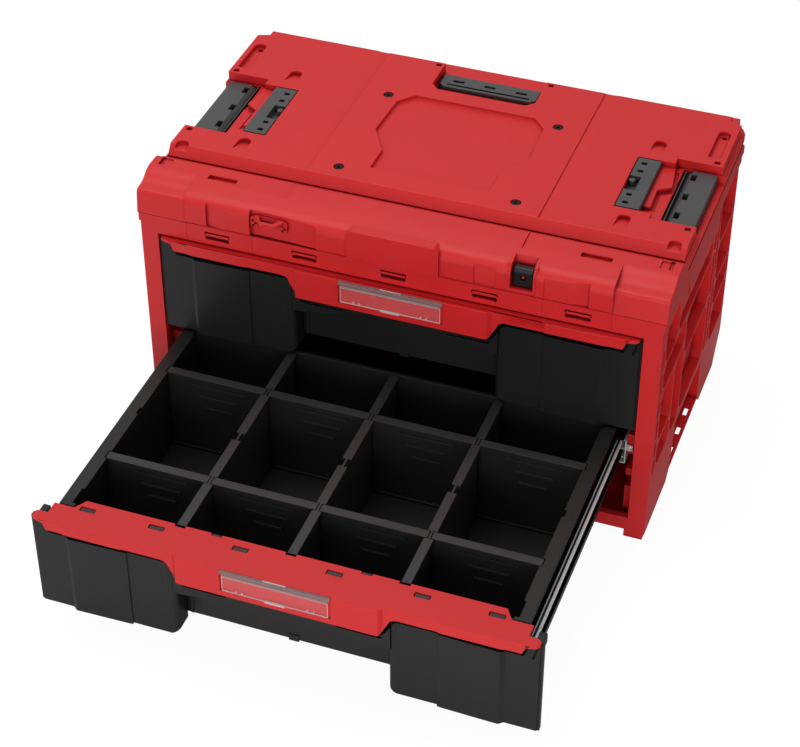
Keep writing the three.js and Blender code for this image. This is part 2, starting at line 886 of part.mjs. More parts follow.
const deckDetail = {
  rampInset: 68.5,
  rampWidth: 14,
  rampDepth: 6,
  rampLength: 26,
  rampFromBar: 6,
  cornerInset: 6.5,
  cornerWidth: 14,
  cornerFrontLength: 18,
  cornerFloor: 5,
  cornerRearLength: 56,
  cornerRearMargin: 32,
  cornerRearDepth: 5,
  cornerHoleFromBack: 6,
  cornerHoleRadius: 3,
  squareSize: 6,
  squareDepth: 4,
  squareInset: 8,
  squareFromBar: 10,
  rearSquareX: 67.5,
  rearSquareInset: 5.5,
  channelDepth: 1.5,
  channelInner: 130,
  channelOuter: 146,
  recessDepth: 4,
  holeSides: 12,
};
const rampX1 = deckHalf - deckDetail.rampInset;
const rampX0 = rampX1 - deckDetail.rampWidth;

// The sunk field in the middle of the deck: half widths and places along Y.
const recessHalfShares = [0.79, 0.97, 1, 0.76, 0.76];
const recess = {
  half: 90,
  backReach: 86,
  frontReach: 71,
};
const recessAlongShares = [1, 0.877, 0.478, 0.235, 0];

const screw = {
  x: 100,
  backReach: 75.6,
  frontReach: 80,
  head: 5.2,
  shank: 2.2,
  headDepth: 2.8,
  sunk: 0.6,
  length: 17,
  tip: 2,
  sides: 16,
};

function deckScrewPlaces() {
  const front0 = connectorY - screw.frontReach;
  const back0 = connectorY + screw.backReach;
  return [
    [-screw.x, front0], [screw.x, front0], [-screw.x, back0], [screw.x, back0],
  ];
}

function deckPlate() {
  const outline = symmetric([
    [deckHalf, bandBackY + seam],
    [deckHalf, deckBackY - deck.rearCornerRun],
    [deck.rearCornerHalf, deckBackY - deck.rearCornerStep],
    [deck.rearCornerHalf, deckBackY],
  ]);
  return cut(prism('z', outline, deckBottom, deckHeight),
    frontSlope(), ...connectorNotches(), ...deckPockets(), centralRecess(), ...channels(),
    ...deckScrewHoles());
}

function frontSlope() {
  return prism('x', [
    [bandBackY - overrun, deckBottom - overrun],
    [bandBackY + seam, deckBottom],
    [deckFrontTopY, deckHeight],
    [deckFrontTopY, deckHeight + overrun],
    [bandBackY - overrun, deckHeight + overrun],
  ], -deckHalf - overrun, deckHalf + overrun);
}

function connectorNotches() {
  const low = deckBottom - overrun;
  const high = deckHeight + overrun;
  const sides = mirrorPair(side => join(
    sidedBlock(side, deckHalf - notch.outerInset, deckHalf + overrun,
      outerBarY0 - notch.outerMargin, outerBarY1 + notch.outerMargin, low, high),
    sidedBlock(side, innerPlateX0 - notch.innerMargin, deckHalf - notch.outerInset + seam,
      innerPlateY0 - notch.innerEndMargin, innerPlateY1 + notch.innerEndMargin, low, high),
  ));
  const rearHalf = rearBar.half + notch.rearSideMargin;
  const rearFront = rearBarY0 - notch.rearFrontMargin;
  const back = prism('z', symmetric([
    [rearHalf - notch.rearCorner, rearFront - notch.rearCorner],
    [rearHalf, rearFront],
    [rearHalf, deckBackY + overrun],
  ]), low, high);
  return [...sides, back];
}

// A pocket with a floor that climbs from its deep rear end to the deck at its front.
function rampPocket(side, y0, y1) {
  const low = deckHeight - deckDetail.rampDepth;
  const [left, right] = side > 0 ? [rampX0, rampX1] : [-rampX1, -rampX0];
  return prism('x', [
    [y0, deckHeight],
    [y1, low],
    [y1, deckHeight + overrun],
    [y0, deckHeight + overrun],
  ], left, right);
}

function squareHole(x, y) {
  const half = deckDetail.squareSize / 2;
  return block(x - half, x + half, y - half, y + half,
    deckHeight - deckDetail.squareDepth, deckHeight + overrun);
}

function deckPockets() {
  const d = deckDetail;
  const cornerOuter = deckHalf - d.cornerInset;
  const cornerInner = cornerOuter - d.cornerWidth;
  const cornerBack = deckBackY - d.cornerRearMargin;
  const rearRampY = outerBarY1 + d.rampFromBar;
  const frontRampY = outerBarY0 - d.rampFromBar;
  const floor = deckHeight - d.cornerFloor;
  const rearFloor = deckHeight - d.cornerRearDepth;
  return mirrorPair(side => [
    rampPocket(side, rearRampY, rearRampY + d.rampLength),
    rampPocket(side, frontRampY - d.rampLength, frontRampY),
    sidedBlock(side, cornerInner, cornerOuter, bandBackY - overrun,
      bandBackY + d.cornerFrontLength, floor, deckHeight + overrun),
    sidedBlock(side, cornerInner, cornerOuter, cornerBack - d.cornerRearLength, cornerBack,
      rearFloor, deckHeight + overrun),
    prism('z', circle(side * (cornerInner + cornerOuter) / 2, cornerBack - d.cornerHoleFromBack,
      d.cornerHoleRadius, d.holeSides), deckBottom - overrun, deckHeight),
    squareHole(side * (deckHalf - d.squareInset), outerBarY0 - d.squareFromBar),
    squareHole(side * (deckHalf - d.squareInset), outerBarY1 + d.squareFromBar),
    squareHole(side * d.rearSquareX, deckBackY - d.rearSquareInset),
  ]).flat();
}

function centralRecess() {
  const points = recessHalfShares.map((across, i) => [
    recess.half * across, between(connectorY - recess.frontReach, connectorY + recess.backReach,
      recessAlongShares[i]),
  ]);
  return prism('z', symmetric(points.reverse()), deckHeight - deckDetail.recessDepth,
    deckHeight + overrun);
}

// Shallow channels across the deck, ramped down to a small step.
function channels() {
  const low = deckHeight - deckDetail.channelDepth;
  return mirrorPair(side => prism('y', [
    [-side * deckDetail.channelOuter, deckHeight],
    [-side * deckDetail.channelInner, low],
    [-side * deckDetail.channelInner, deckHeight + overrun],
    [-side * deckDetail.channelOuter, deckHeight + overrun],
  ], deckFrontTopY, deckBackY + overrun));
}

function deckScrewHoles() {
  const through = screw.shank + slidingGap;
  const headRoom = screw.head + slidingGap;
  return deckScrewPlaces().flatMap(([x, y]) => [
    prism('z', circle(x, y, through, screw.sides), deckBottom - overrun, deckHeight),
    prism('z', circle(x, y, headRoom, screw.sides),
      deckHeight - screw.sunk - screw.headDepth - seam, deckHeight + overrun),
  ]);
}

function deckScrew() {
  const top = deckHeight - screw.sunk;
  const profile = [
    [0, top - screw.length], [screw.shank, top - screw.length + screw.tip],
    [screw.shank, top - screw.headDepth], [screw.head, top], [0, top],
  ];
  const geometry = new THREE.LatheGeometry(
    profile.map(([r, z]) => new THREE.Vector2(r, z)), screw.sides);
  geometry.applyMatrix4(new THREE.Matrix4().makeRotationX(Math.PI / 2));
  return solid(geometry);
}

// Connectors

function outerConnector() {
  const low = wellBottom + seam;
  const middleY = (outerBarY0 + outerBarY1) / 2;
  const body = block(outerBarX0, outerBarX1, outerBarY0, outerBarY1,
    low, outerBarTop);
  const slotX = outerBarX0 + outerBar.slotFromInner;
  const grooveX = outerBarX0 + outerBar.grooveFromInner;
  const slots = [-1, 0, 1].map(i => block(
    slotX - outerBar.slotWidth / 2, slotX + outerBar.slotWidth / 2,
    middleY + i * outerBar.slotSpacing - outerBar.slotLength / 2,
    middleY + i * outerBar.slotSpacing + outerBar.slotLength / 2,
    outerBarTop - outerBar.slotDepth, outerBarTop + overrun));
  const groove = block(
    grooveX - outerBar.grooveWidth / 2, grooveX + outerBar.grooveWidth / 2,
    outerBarY0 + outerBar.slotWidth, outerBarY1 - outerBar.slotLength,
    outerBarTop - outerBar.grooveDepth, outerBarTop + overrun);
  return cut(body, ...slots, groove);
}

function innerConnector() {
  const low = deckBottom + seam;
  const body = block(innerPlateX0, innerPlateX1, innerPlateY0, innerPlateY1,
    low, deckHeight);
  const bite = block(innerPlateX0 - overrun, innerPlateX0 + innerPlate.biteDepth,
    connectorY - innerPlate.biteFront, connectorY + innerPlate.biteBack, low + skin, deckHeight + overrun);
  const half = innerPlate.holeSize / 2;
  const holeX = innerPlateX0 + innerPlate.holeFromInner;
  const holes = innerHoleShares.map(share => {
    const y = between(innerPlateY0, innerPlateY1, share);
    return block(holeX - half, holeX + half, y - half / 2, y + half / 2,
      deckHeight - innerPlate.holeDepth, deckHeight + overrun);
  });
  return cut(body, bite, ...holes);
}

function rearConnector() {
  const low = wellBottom + seam;
  const slotY = rearBarY0 + rearBar.slotFromFront;
  const grooveY = rearBarY0 + rearBar.grooveFromFront;
  const body = block(-rearBar.half, rearBar.half, rearBarY0, rearBarY1, low,
    rearBarTop);
  const slots = [-1, 0, 1].map(i => block(
    i * rearBar.slotSpacing - rearBar.slotWidth / 2,
    i * rearBar.slotSpacing + rearBar.slotWidth / 2,
    slotY - rearBar.slotLength / 2, slotY + rearBar.slotLength / 2,
    rearBarTop - rearBar.slotDepth, rearBarTop + overrun));
  const groove = block(-rearBar.grooveHalf, rearBar.grooveHalf,
    grooveY - rearBar.grooveWidth / 2, grooveY + rearBar.grooveWidth / 2,
    rearBarTop - rearBar.grooveDepth, rearBarTop + overrun);
  return cut(body, ...slots, groove);
}

// Drawers, drawn shut at the lower drawer's height

function drawerTray() {
  const t = tray;
  const rimUnder = trayTop - t.rimThickness;
  const padLow = slideMidZ - slide.height / 2 + doorGap;
  const padHigh = slideMidZ + slide.height / 2 - doorGap;
  const shell = join(
    block(-trayHalf, trayHalf, trayFrontY, trayBackY, trayBottom, trayTop),
    block(-trayHalf - t.rimWidth, trayHalf + t.rimWidth, trayFrontY, trayBackY, rimUnder, trayTop),
    block(-trayHalf - t.padThickness, trayHalf + t.padThickness, trayFrontY, trayBackY,
      padLow, padHigh),
  );
  const inside = block(-trayHalf + t.wall, trayHalf - t.wall, trayFrontY + t.wall,
    trayBackY - t.wall, trayBottom + t.floor, trayTop + overrun);
  const trimSeat = block(-trimSlantHalf - doorGap, trimSlantHalf + doorGap,
    trayFrontY - overrun, trimRearY + slidingGap, trimUnder - seam, trayTop + overrun);
  const gripRoom = frontGripClearance();
  return cut(shell, inside, trimSeat, gripRoom);
}

// Keeps the tray's front wall clear of the front panel's lip.
function frontGripClearance() {
  const half = front.gripHalf + seam;
  return block(-half, half, trayFrontY - overrun, trayFrontY + doorGap,
    lipBottom - seam, trimUnder - seam);
}

function frontPanel() {
  const f = front;
  const top = trimUnder - seam;
  const backOfReturn = trayFrontY - seam;
  const wings = mirrorPair(side => join(
    sidedBlock(side, f.gripHalf - f.returnThickness, frontHalf, frontFaceY, frontBackY,
      frontBottom, top),
    sidedBlock(side, f.gripHalf - f.returnThickness, f.gripHalf, frontFaceY, backOfReturn,
      frontBottom + f.ribHeight / 2, top),
    sidedBlock(side, frontHalf - f.ribFromSide - f.returnThickness, frontHalf - f.ribFromSide,
      frontFaceY, backOfReturn, top - f.ribHeight, top),
    sidedBlock(side, proudInner, proudOuter, frontFaceY - f.proud, frontFaceY + seam,
      frontBottom, trimTop - f.proudTopDrop),
    sidedBlock(side, proudInner, proudOuter, frontFaceY - f.proud,
      frontY - f.proudGap, frontBottom - f.proudDrop, trimTop - f.proudTopDrop),
    sidedBlock(side, frontHalf - f.hookInset - f.hookWidth, frontHalf - f.hookInset,
      frontFaceY, backOfReturn, trimTop - f.hookDrop - f.hookHeight, trimTop - f.hookDrop),
  ));
  const lip = block(-f.gripHalf + seam, f.gripHalf - seam, frontFaceY, backOfReturn,
    lipBottom, lipBottom + f.lipThickness);
  const lipFace = block(-f.gripHalf + seam, f.gripHalf - seam, frontFaceY,
    frontFaceY + f.lipThickness, lipBottom, top);
  return join(wings[0], lip, lipFace, wings[1]);
}

function trimOutline() {
  return symmetric([
    [trim.curveHalf, trimFrontY],
    [frontHalf - trim.cornerInset, trimFrontY],
    [trimEndHalf, trimFrontY + trim.endDepth],
    [trimEndHalf, trimFrontY + trim.endDepth + trim.stepDepth],
    [trimStepHalf, trimFrontY + trim.endDepth + trim.stepDepth],
    [trimStepHalf, trimRearY - trim.slantDepth],
    [trimSlantHalf, trimRearY - trim.slantDepth],
    [trimRearHalf, trimRearY],
  ]);
}

function drawerTrim() {
  const t = trim;
  const backOfSkirt = frontFaceY - seam;
  const plate = prism('z', trimOutline(), trimUnder, trimTop);
  const skirt = block(-skirtHalf, skirtHalf, trimFrontY, backOfSkirt, skirtBottom, trimTop);
  const bulge = prism('z', [
    [t.curveHalf, trimFrontY + doorGap],
    [t.curveHalf, trimFrontY],
    [t.bulgeHalf, bulgeFaceY],
    [-t.bulgeHalf, bulgeFaceY],
    [-t.curveHalf, trimFrontY],
    [-t.curveHalf, trimFrontY + doorGap],
  ], skirtBottom, trimTop);
  const apron = prism('y', symmetric([
    [t.bulgeHalf, bulgeBottom],
    [(t.bulgeHalf + t.curveHalf) / 2, (bulgeBottom + skirtBottom) / 2],
    [t.curveHalf, skirtBottom],
    [t.curveHalf, trimTop],
  ]), trimFrontY - doorGap, backOfSkirt);
  const face = prism('y', symmetric([
    [t.bulgeHalf - doorGap, bulgeBottom],
    [t.bulgeHalf, bulgeBottom + doorGap],
    [t.bulgeHalf, trimTop],
  ]), bulgeFaceY, trimFrontY);
  const whole = join(plate, skirt, apron, bulge, face);
  const labelRecess = block(-label.half - seam, label.half + seam, bulgeFaceY - overrun,
    recessFloorY, trimUnder - label.recessHeight, trimUnder);
  return cut(whole, labelRecess, ...trimWindows());
}

function trimWindows() {
  const back = trimRearY - trim.windowFromRear;
  return windowPlaceShares.map(share => {
    const x = trimRearHalf * share;
    return block(x - trim.windowWidth / 2, x + trim.windowWidth / 2,
      back - trim.windowDepth, back, trimUnder - seam, trimTop + overrun);
  });
}

function labelCover() {
  const rod = prism('x', circle(pivotY, pivotZ, label.rodRadius, lock.sides),
    -label.half, label.half);
  const plate = block(-label.half, label.half, pivotY - label.thickness / 2,
    pivotY + label.thickness / 2, labelBottom, pivotZ);
  const snap = block(-label.snapHalf, label.snapHalf, pivotY - label.thickness / 2,
    pivotY + label.thickness / 2, labelBottom - label.snapDrop, labelBottom + label.snapDrop);
  return join(rod, plate, snap);
}

// Slide members. Each is a channel; the three nest with a running gap that balls fill.

function channel(webX, flangeX, halfHeight, y0, y1) {
  const s = slide.sheet;
  const inner = Math.min(webX, flangeX);
  const outer = Math.max(webX, flangeX);
  const webOuter = webX < flangeX ? webX + s : webX - s;
  const low = slideMidZ - halfHeight;
  const high = slideMidZ + halfHeight;
  return join(
    block(Math.min(webX, webOuter), Math.max(webX, webOuter), y0, y1, low, high),
    block(inner, outer, y0, y1, low, low + s),
    block(inner, outer, y0, y1, high - s, high),
  );
}

const stepIn = slide.sheet + slidingGap;
const drawerMemberHalf = slide.height / 2;
const middleMemberHalf = drawerMemberHalf - stepIn;
const cabinetMemberHalf = middleMemberHalf - stepIn;

function drawerMember() {
  return channel(slideInnerX, slideInnerX + slide.drawerFlange, drawerMemberHalf,
    trayFrontY, trayBackY);
}

function middleMember() {
  const web = slideInnerX + slide.sheet + 2 * slidingGap;
  return channel(web, web + slide.drawerFlange - 2 * slide.sheet, middleMemberHalf,
    trayFrontY, slideBackY);
}

function cabinetMember() {
  const flangeEnd = slideInnerX + 2 * slide.sheet + 4 * slidingGap;
  const tabY = wallFrontY + wall.bossSetback - seam;
  const tab = block(slideOuterX - slide.sheet, slideOuterX + slide.tabReach,
    tabY - slide.sheet, tabY,
    slideMidZ, slideMidZ + slide.tabHeight);
  const rail = channel(slideOuterX, flangeEnd, cabinetMemberHalf, tabY - slide.sheet,
    slideBackY);
  return join(rail, tab);
}

// Dividers of the lower tray's grid and the upper tray's lanes

const divider = {
  web: 2.4,
  flange: 10,
  flangeThickness: 2.4,
  drop: 0.5,
  ribLength: 60,
  ribHeight: 2,
  ribDepth: 1,
};
const longPlaceShares = [-0.504, 0, 0.504];
const crossPlaceShares = [0.246, 0.752];
const ribShares = [[0.9, 1], [0.77, 0.75], [0.62, 0.55]];
const trayInsideHalf = trayHalf - tray.wall;
const dividerBottom = trayBottom + tray.floor + seam;
const dividerTop = trayTop - divider.drop;
const longFrontY = trayFrontY + tray.wall + seam;
const longBackY = trayBackY - tray.wall - seam;
const longPlaces = longPlaceShares.map(share => trayInsideHalf * share);
const crossPlaces = crossPlaceShares.map(share => between(trimRearY, longBackY, share));

function longDivider(x) {
  const webHalf = divider.web / 2;
  const flangeHalf = divider.flange / 2;
  const under = dividerTop - divider.flangeThickness;
  const flangeFrontY = trimRearY + slidingGap + seam;
  const web = block(x - webHalf, x + webHalf, flangeFrontY, longBackY, dividerBottom,
    dividerTop);
  const toe = block(x - webHalf, x + webHalf, longFrontY, longBackY, dividerBottom,
    trimUnder - 2 * seam);
  const flange = block(x - flangeHalf, x + flangeHalf, flangeFrontY, longBackY,
    under, dividerTop);
  return join(web, toe, flange);
}

// A cross divider between two long ones, with three raised ribs on its front face.
function crossDivider(x0, x1, leftEnd, rightEnd, y) {
  const webHalf = divider.web / 2;
  const flangeHalf = divider.flange / 2;
  const under = dividerTop - divider.flangeThickness;
  const webLeft = x0 + (leftEnd ? seam : webHalf + seam);
  const webRight = x1 - (rightEnd ? seam : webHalf + seam);
  const flangeLeft = x0 + (leftEnd ? seam : flangeHalf + seam);
  const flangeRight = x1 - (rightEnd ? seam : flangeHalf + seam);
  const middle = (x0 + x1) / 2;
  const height = dividerTop - dividerBottom;
  const web = block(webLeft, webRight, y - webHalf, y + webHalf, dividerBottom, under);
  const flange = block(flangeLeft, flangeRight, y - flangeHalf, y + flangeHalf,
    under - seam, dividerTop);
  const ribs = ribShares.map(([up, long]) => {
    const half = divider.ribLength * long / 2;
    const z = dividerBottom + height * up;
    return block(middle - half, middle + half, y - webHalf - divider.ribDepth, y,
      z - divider.ribHeight, z);
  });
  return join(web, flange, ...ribs);
}

// Assembly

const chest = new THREE.Group();
const frontMostY = pivotY - label.rodRadius - travel;
chest.position.y = -(frontMostY + backY) / 2;

chest.add(piece('front_frame', frontFrame(), 'redPlastic'));
chest.add(piece('side_wall_right', sideWall(), 'redPlastic'));
chest.add(piece('side_wall_left', sideWall(), 'redPlastic', true));
chest.add(piece('floor_panel', floorPanel(), 'redPlastic'));
chest.add(piece('rear_wall', rearWall(), 'redPlastic'));
chest.add(piece('lid_frame', lidFrame(), 'redPlastic'));
chest.add(piece('front_band', frontBand(), 'redPlastic'));
chest.add(piece('deck_plate', deckPlate(), 'redPlastic'));
chest.add(piece('padlock_eye', padlockEye(), 'redPlastic'));
chest.add(piece('lock_button', lockButton(), 'darkPlastic'));
chest.add(piece('rear_connector', rearConnector(), 'greyPlastic'));

for (const [side, mirrored] of [['right', false], ['left', true]]) {
  chest.add(piece(`outer_connector_${side}`, outerConnector(), 'greyPlastic', mirrored));
  chest.add(piece(`inner_connector_${side}`, innerConnector(), 'greyPlastic', mirrored));
}

deckScrewPlaces().forEach(([x, y], i) => {
  const mesh = piece(`deck_screw_${i + 1}`, deckScrew(), 'blackSteel');
  mesh.position.set(x, y, 0);
  chest.add(mesh);
});

// One drawer with its slides: opened by so much, and lifted to its height.
function addDrawer(level, opened, lift) {
  const drawer = new THREE.Group();
  drawer.position.set(0, -opened, lift);
  drawer.add(piece(`${level}_tray`, drawerTray(), 'blackPlastic'));
  drawer.add(piece(`${level}_front_panel`, frontPanel(), 'blackPlastic'));
  drawer.add(piece(`${level}_trim`, drawerTrim(), 'redPlastic'));
  drawer.add(piece(`${level}_label_cover`, labelCover(), 'clearPlastic'));
  const middle = new THREE.Group();
  middle.position.set(0, -opened / 2, lift);
  const fixed = new THREE.Group();
  fixed.position.set(0, 0, lift);
  for (const [side, mirrored] of [['right', false], ['left', true]]) {
    drawer.add(piece(`${level}_drawer_member_${side}`, drawerMember(), 'zincSteel', mirrored));
    middle.add(piece(`${level}_middle_member_${side}`, middleMember(), 'zincSteel', mirrored));
    fixed.add(piece(`${level}_cabinet_member_${side}`, cabinetMember(), 'zincSteel', mirrored));
  }
  longPlaces.forEach((x, i) => {
    drawer.add(piece(`${level}_long_divider_${i + 1}`, longDivider(x), 'blackPlastic'));
  });
  chest.add(drawer, middle, fixed);
  return drawer;
}

const lowerDrawer = addDrawer('lower', travel, 0);
addDrawer('upper', 0, drawerPitch);

const edges = [-trayInsideHalf, ...longPlaces, trayInsideHalf];
crossPlaces.forEach((y, row) => {
  for (let i = 0; i < edges.length - 1; i += 1) {
    const shape = crossDivider(edges[i], edges[i + 1], i === 0, i === edges.length - 2, y);
    lowerDrawer.add(piece(`lower_cross_divider_${row + 1}_${i + 1}`, shape, 'blackPlastic'));
  }
});

export default chest;
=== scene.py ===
import json
import math
from types import SimpleNamespace

import bmesh
import bpy
import numpy as np
from mathutils import Matrix, Vector

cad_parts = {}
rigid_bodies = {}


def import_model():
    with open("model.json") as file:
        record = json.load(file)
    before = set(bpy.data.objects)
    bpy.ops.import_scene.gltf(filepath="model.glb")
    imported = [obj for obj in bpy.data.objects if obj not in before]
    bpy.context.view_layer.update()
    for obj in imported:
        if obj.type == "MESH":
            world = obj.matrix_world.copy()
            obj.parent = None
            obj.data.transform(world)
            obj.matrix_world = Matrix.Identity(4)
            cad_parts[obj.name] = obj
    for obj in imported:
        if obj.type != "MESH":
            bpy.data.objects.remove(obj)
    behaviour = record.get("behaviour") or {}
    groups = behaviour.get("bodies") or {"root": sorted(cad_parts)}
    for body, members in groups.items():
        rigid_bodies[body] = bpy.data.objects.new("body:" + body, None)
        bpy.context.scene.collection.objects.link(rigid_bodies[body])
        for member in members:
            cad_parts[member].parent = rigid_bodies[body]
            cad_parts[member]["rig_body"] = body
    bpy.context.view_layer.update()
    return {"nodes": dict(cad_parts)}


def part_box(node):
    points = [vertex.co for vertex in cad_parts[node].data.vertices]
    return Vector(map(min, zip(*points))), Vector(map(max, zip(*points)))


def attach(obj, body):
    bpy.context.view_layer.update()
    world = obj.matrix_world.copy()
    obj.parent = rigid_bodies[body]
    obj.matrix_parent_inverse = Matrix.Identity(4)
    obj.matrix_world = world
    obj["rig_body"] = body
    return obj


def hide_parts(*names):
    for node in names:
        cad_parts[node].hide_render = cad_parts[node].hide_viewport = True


bl_info = {
    "name": "Tool chest with two drawers",
    "version": (1, 0, 0),
    "blender": (4, 5, 0),
    "location": "3D View > Sidebar > Tool chest",
    "description": "Dresses a two-drawer plastic tool chest on telescopic slides",
    "category": "Object",
}

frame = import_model()

# Everything below is written in millimetres and turned to metres where a mesh is made.
MM = 0.001
OVERRUN = 20
SEAM = 0.3
MERGE = 0.002
FLAT_DEGREES = 0.6

AXES = {
    "x": (Vector((0, 1, 0)), Vector((0, 0, 1)), Vector((1, 0, 0))),
    "y": (Vector((1, 0, 0)), Vector((0, 0, 1)), Vector((0, 1, 0))),
    "z": (Vector((1, 0, 0)), Vector((0, 1, 0)), Vector((0, 0, 1))),
}


# Places taken from the frame


def extent(node):
    """The box of a CAD node as six named places in millimetres."""
    low, high = (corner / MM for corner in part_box(node))
    return SimpleNamespace(
        left=low.x, right=high.x, front=low.y, back=high.y, bottom=low.z, top=high.z
    )


def body_named(node):
    """The body that a CAD node rides on."""
    return frame["nodes"][node]["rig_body"]


# Shapes


def new_object(name, mesh):
    """An object in the scene that holds a mesh, a lamp or a camera."""
    made = bpy.data.objects.new(name, mesh)
    bpy.context.scene.collection.objects.link(made)
    return made


def from_bmesh(name, bm):
    """Turns an editing mesh into an object, with its faces turned outward."""
    mesh = bpy.data.meshes.new(name)
    bmesh.ops.recalc_face_normals(bm, faces=bm.faces)
    bm.to_mesh(mesh)
    bm.free()
    return new_object(name, mesh)


def prism(axis, outline, low, high):
    """Pushes an outline along an axis; its points are (y, z) for x, (x, z) for y, (x, y) for z."""
    across, up, along = AXES[axis]
    bm = bmesh.new()
    points = [across * a + up * b + along * low for a, b in outline]
    face = bm.faces.new([bm.verts.new(p * MM) for p in points])
    pushed = bmesh.ops.extrude_face_region(bm, geom=[face])["geom"]
    moved = [v for v in pushed if isinstance(v, bmesh.types.BMVert)]
    bmesh.ops.translate(bm, verts=moved, vec=along * ((high - low) * MM))
    return from_bmesh("tool", bm)


def block(x0, x1, y0, y1, z0, z1):
    """A box between two places on each axis; the two across may come in any order."""
    x0, x1 = sorted((x0, x1))
    return prism("z", [(x0, y0), (x1, y0), (x1, y1), (x0, y1)], z0, z1)


def arc(a, b, radius, start, end, steps=8):
    """Points on an arc round (a, b), with its angles in degrees."""
    turns = (math.radians(start + (end - start) * i / steps) for i in range(steps + 1))
    return [(a + radius * math.cos(t), b + radius * math.sin(t)) for t in turns]


def circle(a, b, radius, sides=24):
    return arc(a, b, radius, 0, 360 * (sides - 1) / sides, sides - 1)


def rounded(a0, a1, b0, b1, radius, steps=5):
    """A rectangle with round corners."""
    a0, a1 = sorted((a0, a1))
    r = min(radius, (a1 - a0) / 2.01, (b1 - b0) / 2.01)
    corners = [(a1 - r, b1 - r, 0), (a0 + r, b1 - r, 90),
               (a0 + r, b0 + r, 180), (a1 - r, b0 + r, 270)]
    return [p for a, b, start in corners for p in arc(a, b, r, start, start + 90, steps)]


def filleted(outline, steps=5):
    """Rounds the corners that carry a radius as their third value."""
    smooth = []
    for i, (a, b, *radius) in enumerate(outline):
        here = Vector((a, b))
        if not radius:
            smooth.append((a, b))
            continue
        before = Vector(outline[i - 1][:2]) - here
        after = Vector(outline[(i + 1) % len(outline)][:2]) - here
        reach = min(radius[0], before.length * 0.48, after.length * 0.48)
        start, end = here + before.normalized() * reach, here + after.normalized() * reach
        for k in range(steps + 1):
            t = k / steps
            spot = start * (1 - t) ** 2 + here * (2 * t * (1 - t)) + end * t ** 2
            smooth.append((spot.x, spot.y))
    return smooth


def mirrored(outline):
    """Completes the right half of an outline with its mirror image."""
    return list(outline) + [(-a, b) for a, b in reversed(outline)]


def turned(profile, axis, centre, sides=24):
    """Turns a profile of (radius, place along the axis) round an axis through a centre."""
    across, up, along = AXES[axis]
    bm = bmesh.new()
    rings = []
    for radius, place in profile:
        ring = []
        for i in range(sides):
            turn = 2 * math.pi * i / sides
            spot = centre + along * place + (across * math.cos(turn) + up * math.sin(turn)) * radius
            ring.append(bm.verts.new(spot * MM))
        rings.append(ring)
    for low, high in zip(rings, rings[1:]):
        for i in range(sides):
            j = (i + 1) % sides
            bm.faces.new((low[i], low[j], high[j], high[i]))
    bm.faces.new(rings[0])
    bm.faces.new(rings[-1])
    return from_bmesh("tool", bm)


def tidy(mesh):
    """Merges double points and turns flat patches into single faces."""
    bm = bmesh.new()
    bm.from_mesh(mesh)
    bmesh.ops.remove_doubles(bm, verts=bm.verts, dist=MERGE * MM)
    bmesh.ops.dissolve_limit(bm, angle_limit=math.radians(FLAT_DEGREES), verts=bm.verts,
                             edges=bm.edges)
    bmesh.ops.dissolve_degenerate(bm, edges=bm.edges, dist=MERGE * MM)
    loose = [e for e in bm.edges if not e.link_faces]
    bmesh.ops.delete(bm, geom=loose, context="EDGES")
    bm.to_mesh(mesh)
    bm.free()


def copy_of(node):
    """A new object with the shape of a CAD node."""
    made = new_object("copy", frame["nodes"][node].data.copy())
    made.data.materials.clear()
    bm = bmesh.new()
    bm.from_mesh(made.data)
    bmesh.ops.remove_doubles(bm, verts=bm.verts, dist=MERGE * MM)
    bm.to_mesh(made.data)
    bm.free()
    return made


def combine(operation, body, *tools):
    """Adds, cuts away or intersects each tool in turn, and removes the tools."""
    for tool in tools:
        step = body.modifiers.new("step", "BOOLEAN")
        step.operation = operation
        step.solver = "MANIFOLD"
        step.object = tool
    evaluated = body.evaluated_get(bpy.context.evaluated_depsgraph_get())
    mesh = bpy.data.meshes.new_from_object(evaluated)
    body.modifiers.clear()
    body.data = mesh
    for tool in tools:
        bpy.data.objects.remove(tool)
    return body


def cut(body, *tools):
    return combine("DIFFERENCE", body, *tools)


def join(body, *tools):
    return combine("UNION", body, *tools)


def meet(body, *tools):
    return combine("INTERSECT", body, *tools)


def both(make):
    """The same shape made for the right side and for the left side."""
    return [make(1), make(-1)]


def sided(side, inner, outer, y0, y1, z0, z1):
    """A box given by its distances from the middle, on the right side (1) or the left (-1)."""
    return block(side * inner, side * outer, y0, y1, z0, z1)


# Finishing a piece


def room_beside(face):
    """How near each edge of a face comes to the rest of the face's outline, in its own order."""
    corners = np.array([v.co for v in face.verts])
    ends = np.roll(corners, -1, axis=0)
    along = ends - corners
    length = np.maximum((along ** 2).sum(axis=1), 1e-18)
    reach = corners[:, None, :] - corners[None, :, :]
    share = np.clip((reach * along[None]).sum(axis=2) / length[None], 0, 1)
    gap = np.linalg.norm(reach - share[..., None] * along[None], axis=2)
    count = len(corners)
    order = np.arange(count)
    gap[order, order] = np.inf
    gap[(order + 1) % count, order] = np.inf
    by_edge = gap.min(axis=0)
    by_corner = gap.min(axis=1)
    return np.minimum(by_edge, np.minimum(by_corner, np.roll(by_corner, -1)))


def weigh_edges(mesh, radius, angle):
    """Marks sharp edges for rounding, less where the shape leaves less room beside them."""
    bm = bmesh.new()
    bm.from_mesh(mesh)
    weights = bm.edges.layers.float.new("bevel_weight_edge")
    room = {}
    for face in bm.faces:
        for edge, gap in zip((loop.edge for loop in face.loops), room_beside(face)):
            room[edge] = min(gap, room.get(edge, math.inf))
    near = {v: min((room[e] for e in v.link_edges), default=0) for v in bm.verts}
    room_share = 0.4
    for edge in bm.edges:
        if edge.is_manifold and edge.calc_face_angle(0) > math.radians(angle):
            least = min(room[edge], *(near[v] for v in edge.verts))
            edge[weights] = min(1, room_share * least / (radius * MM))
    bm.to_mesh(mesh)
    bm.free()


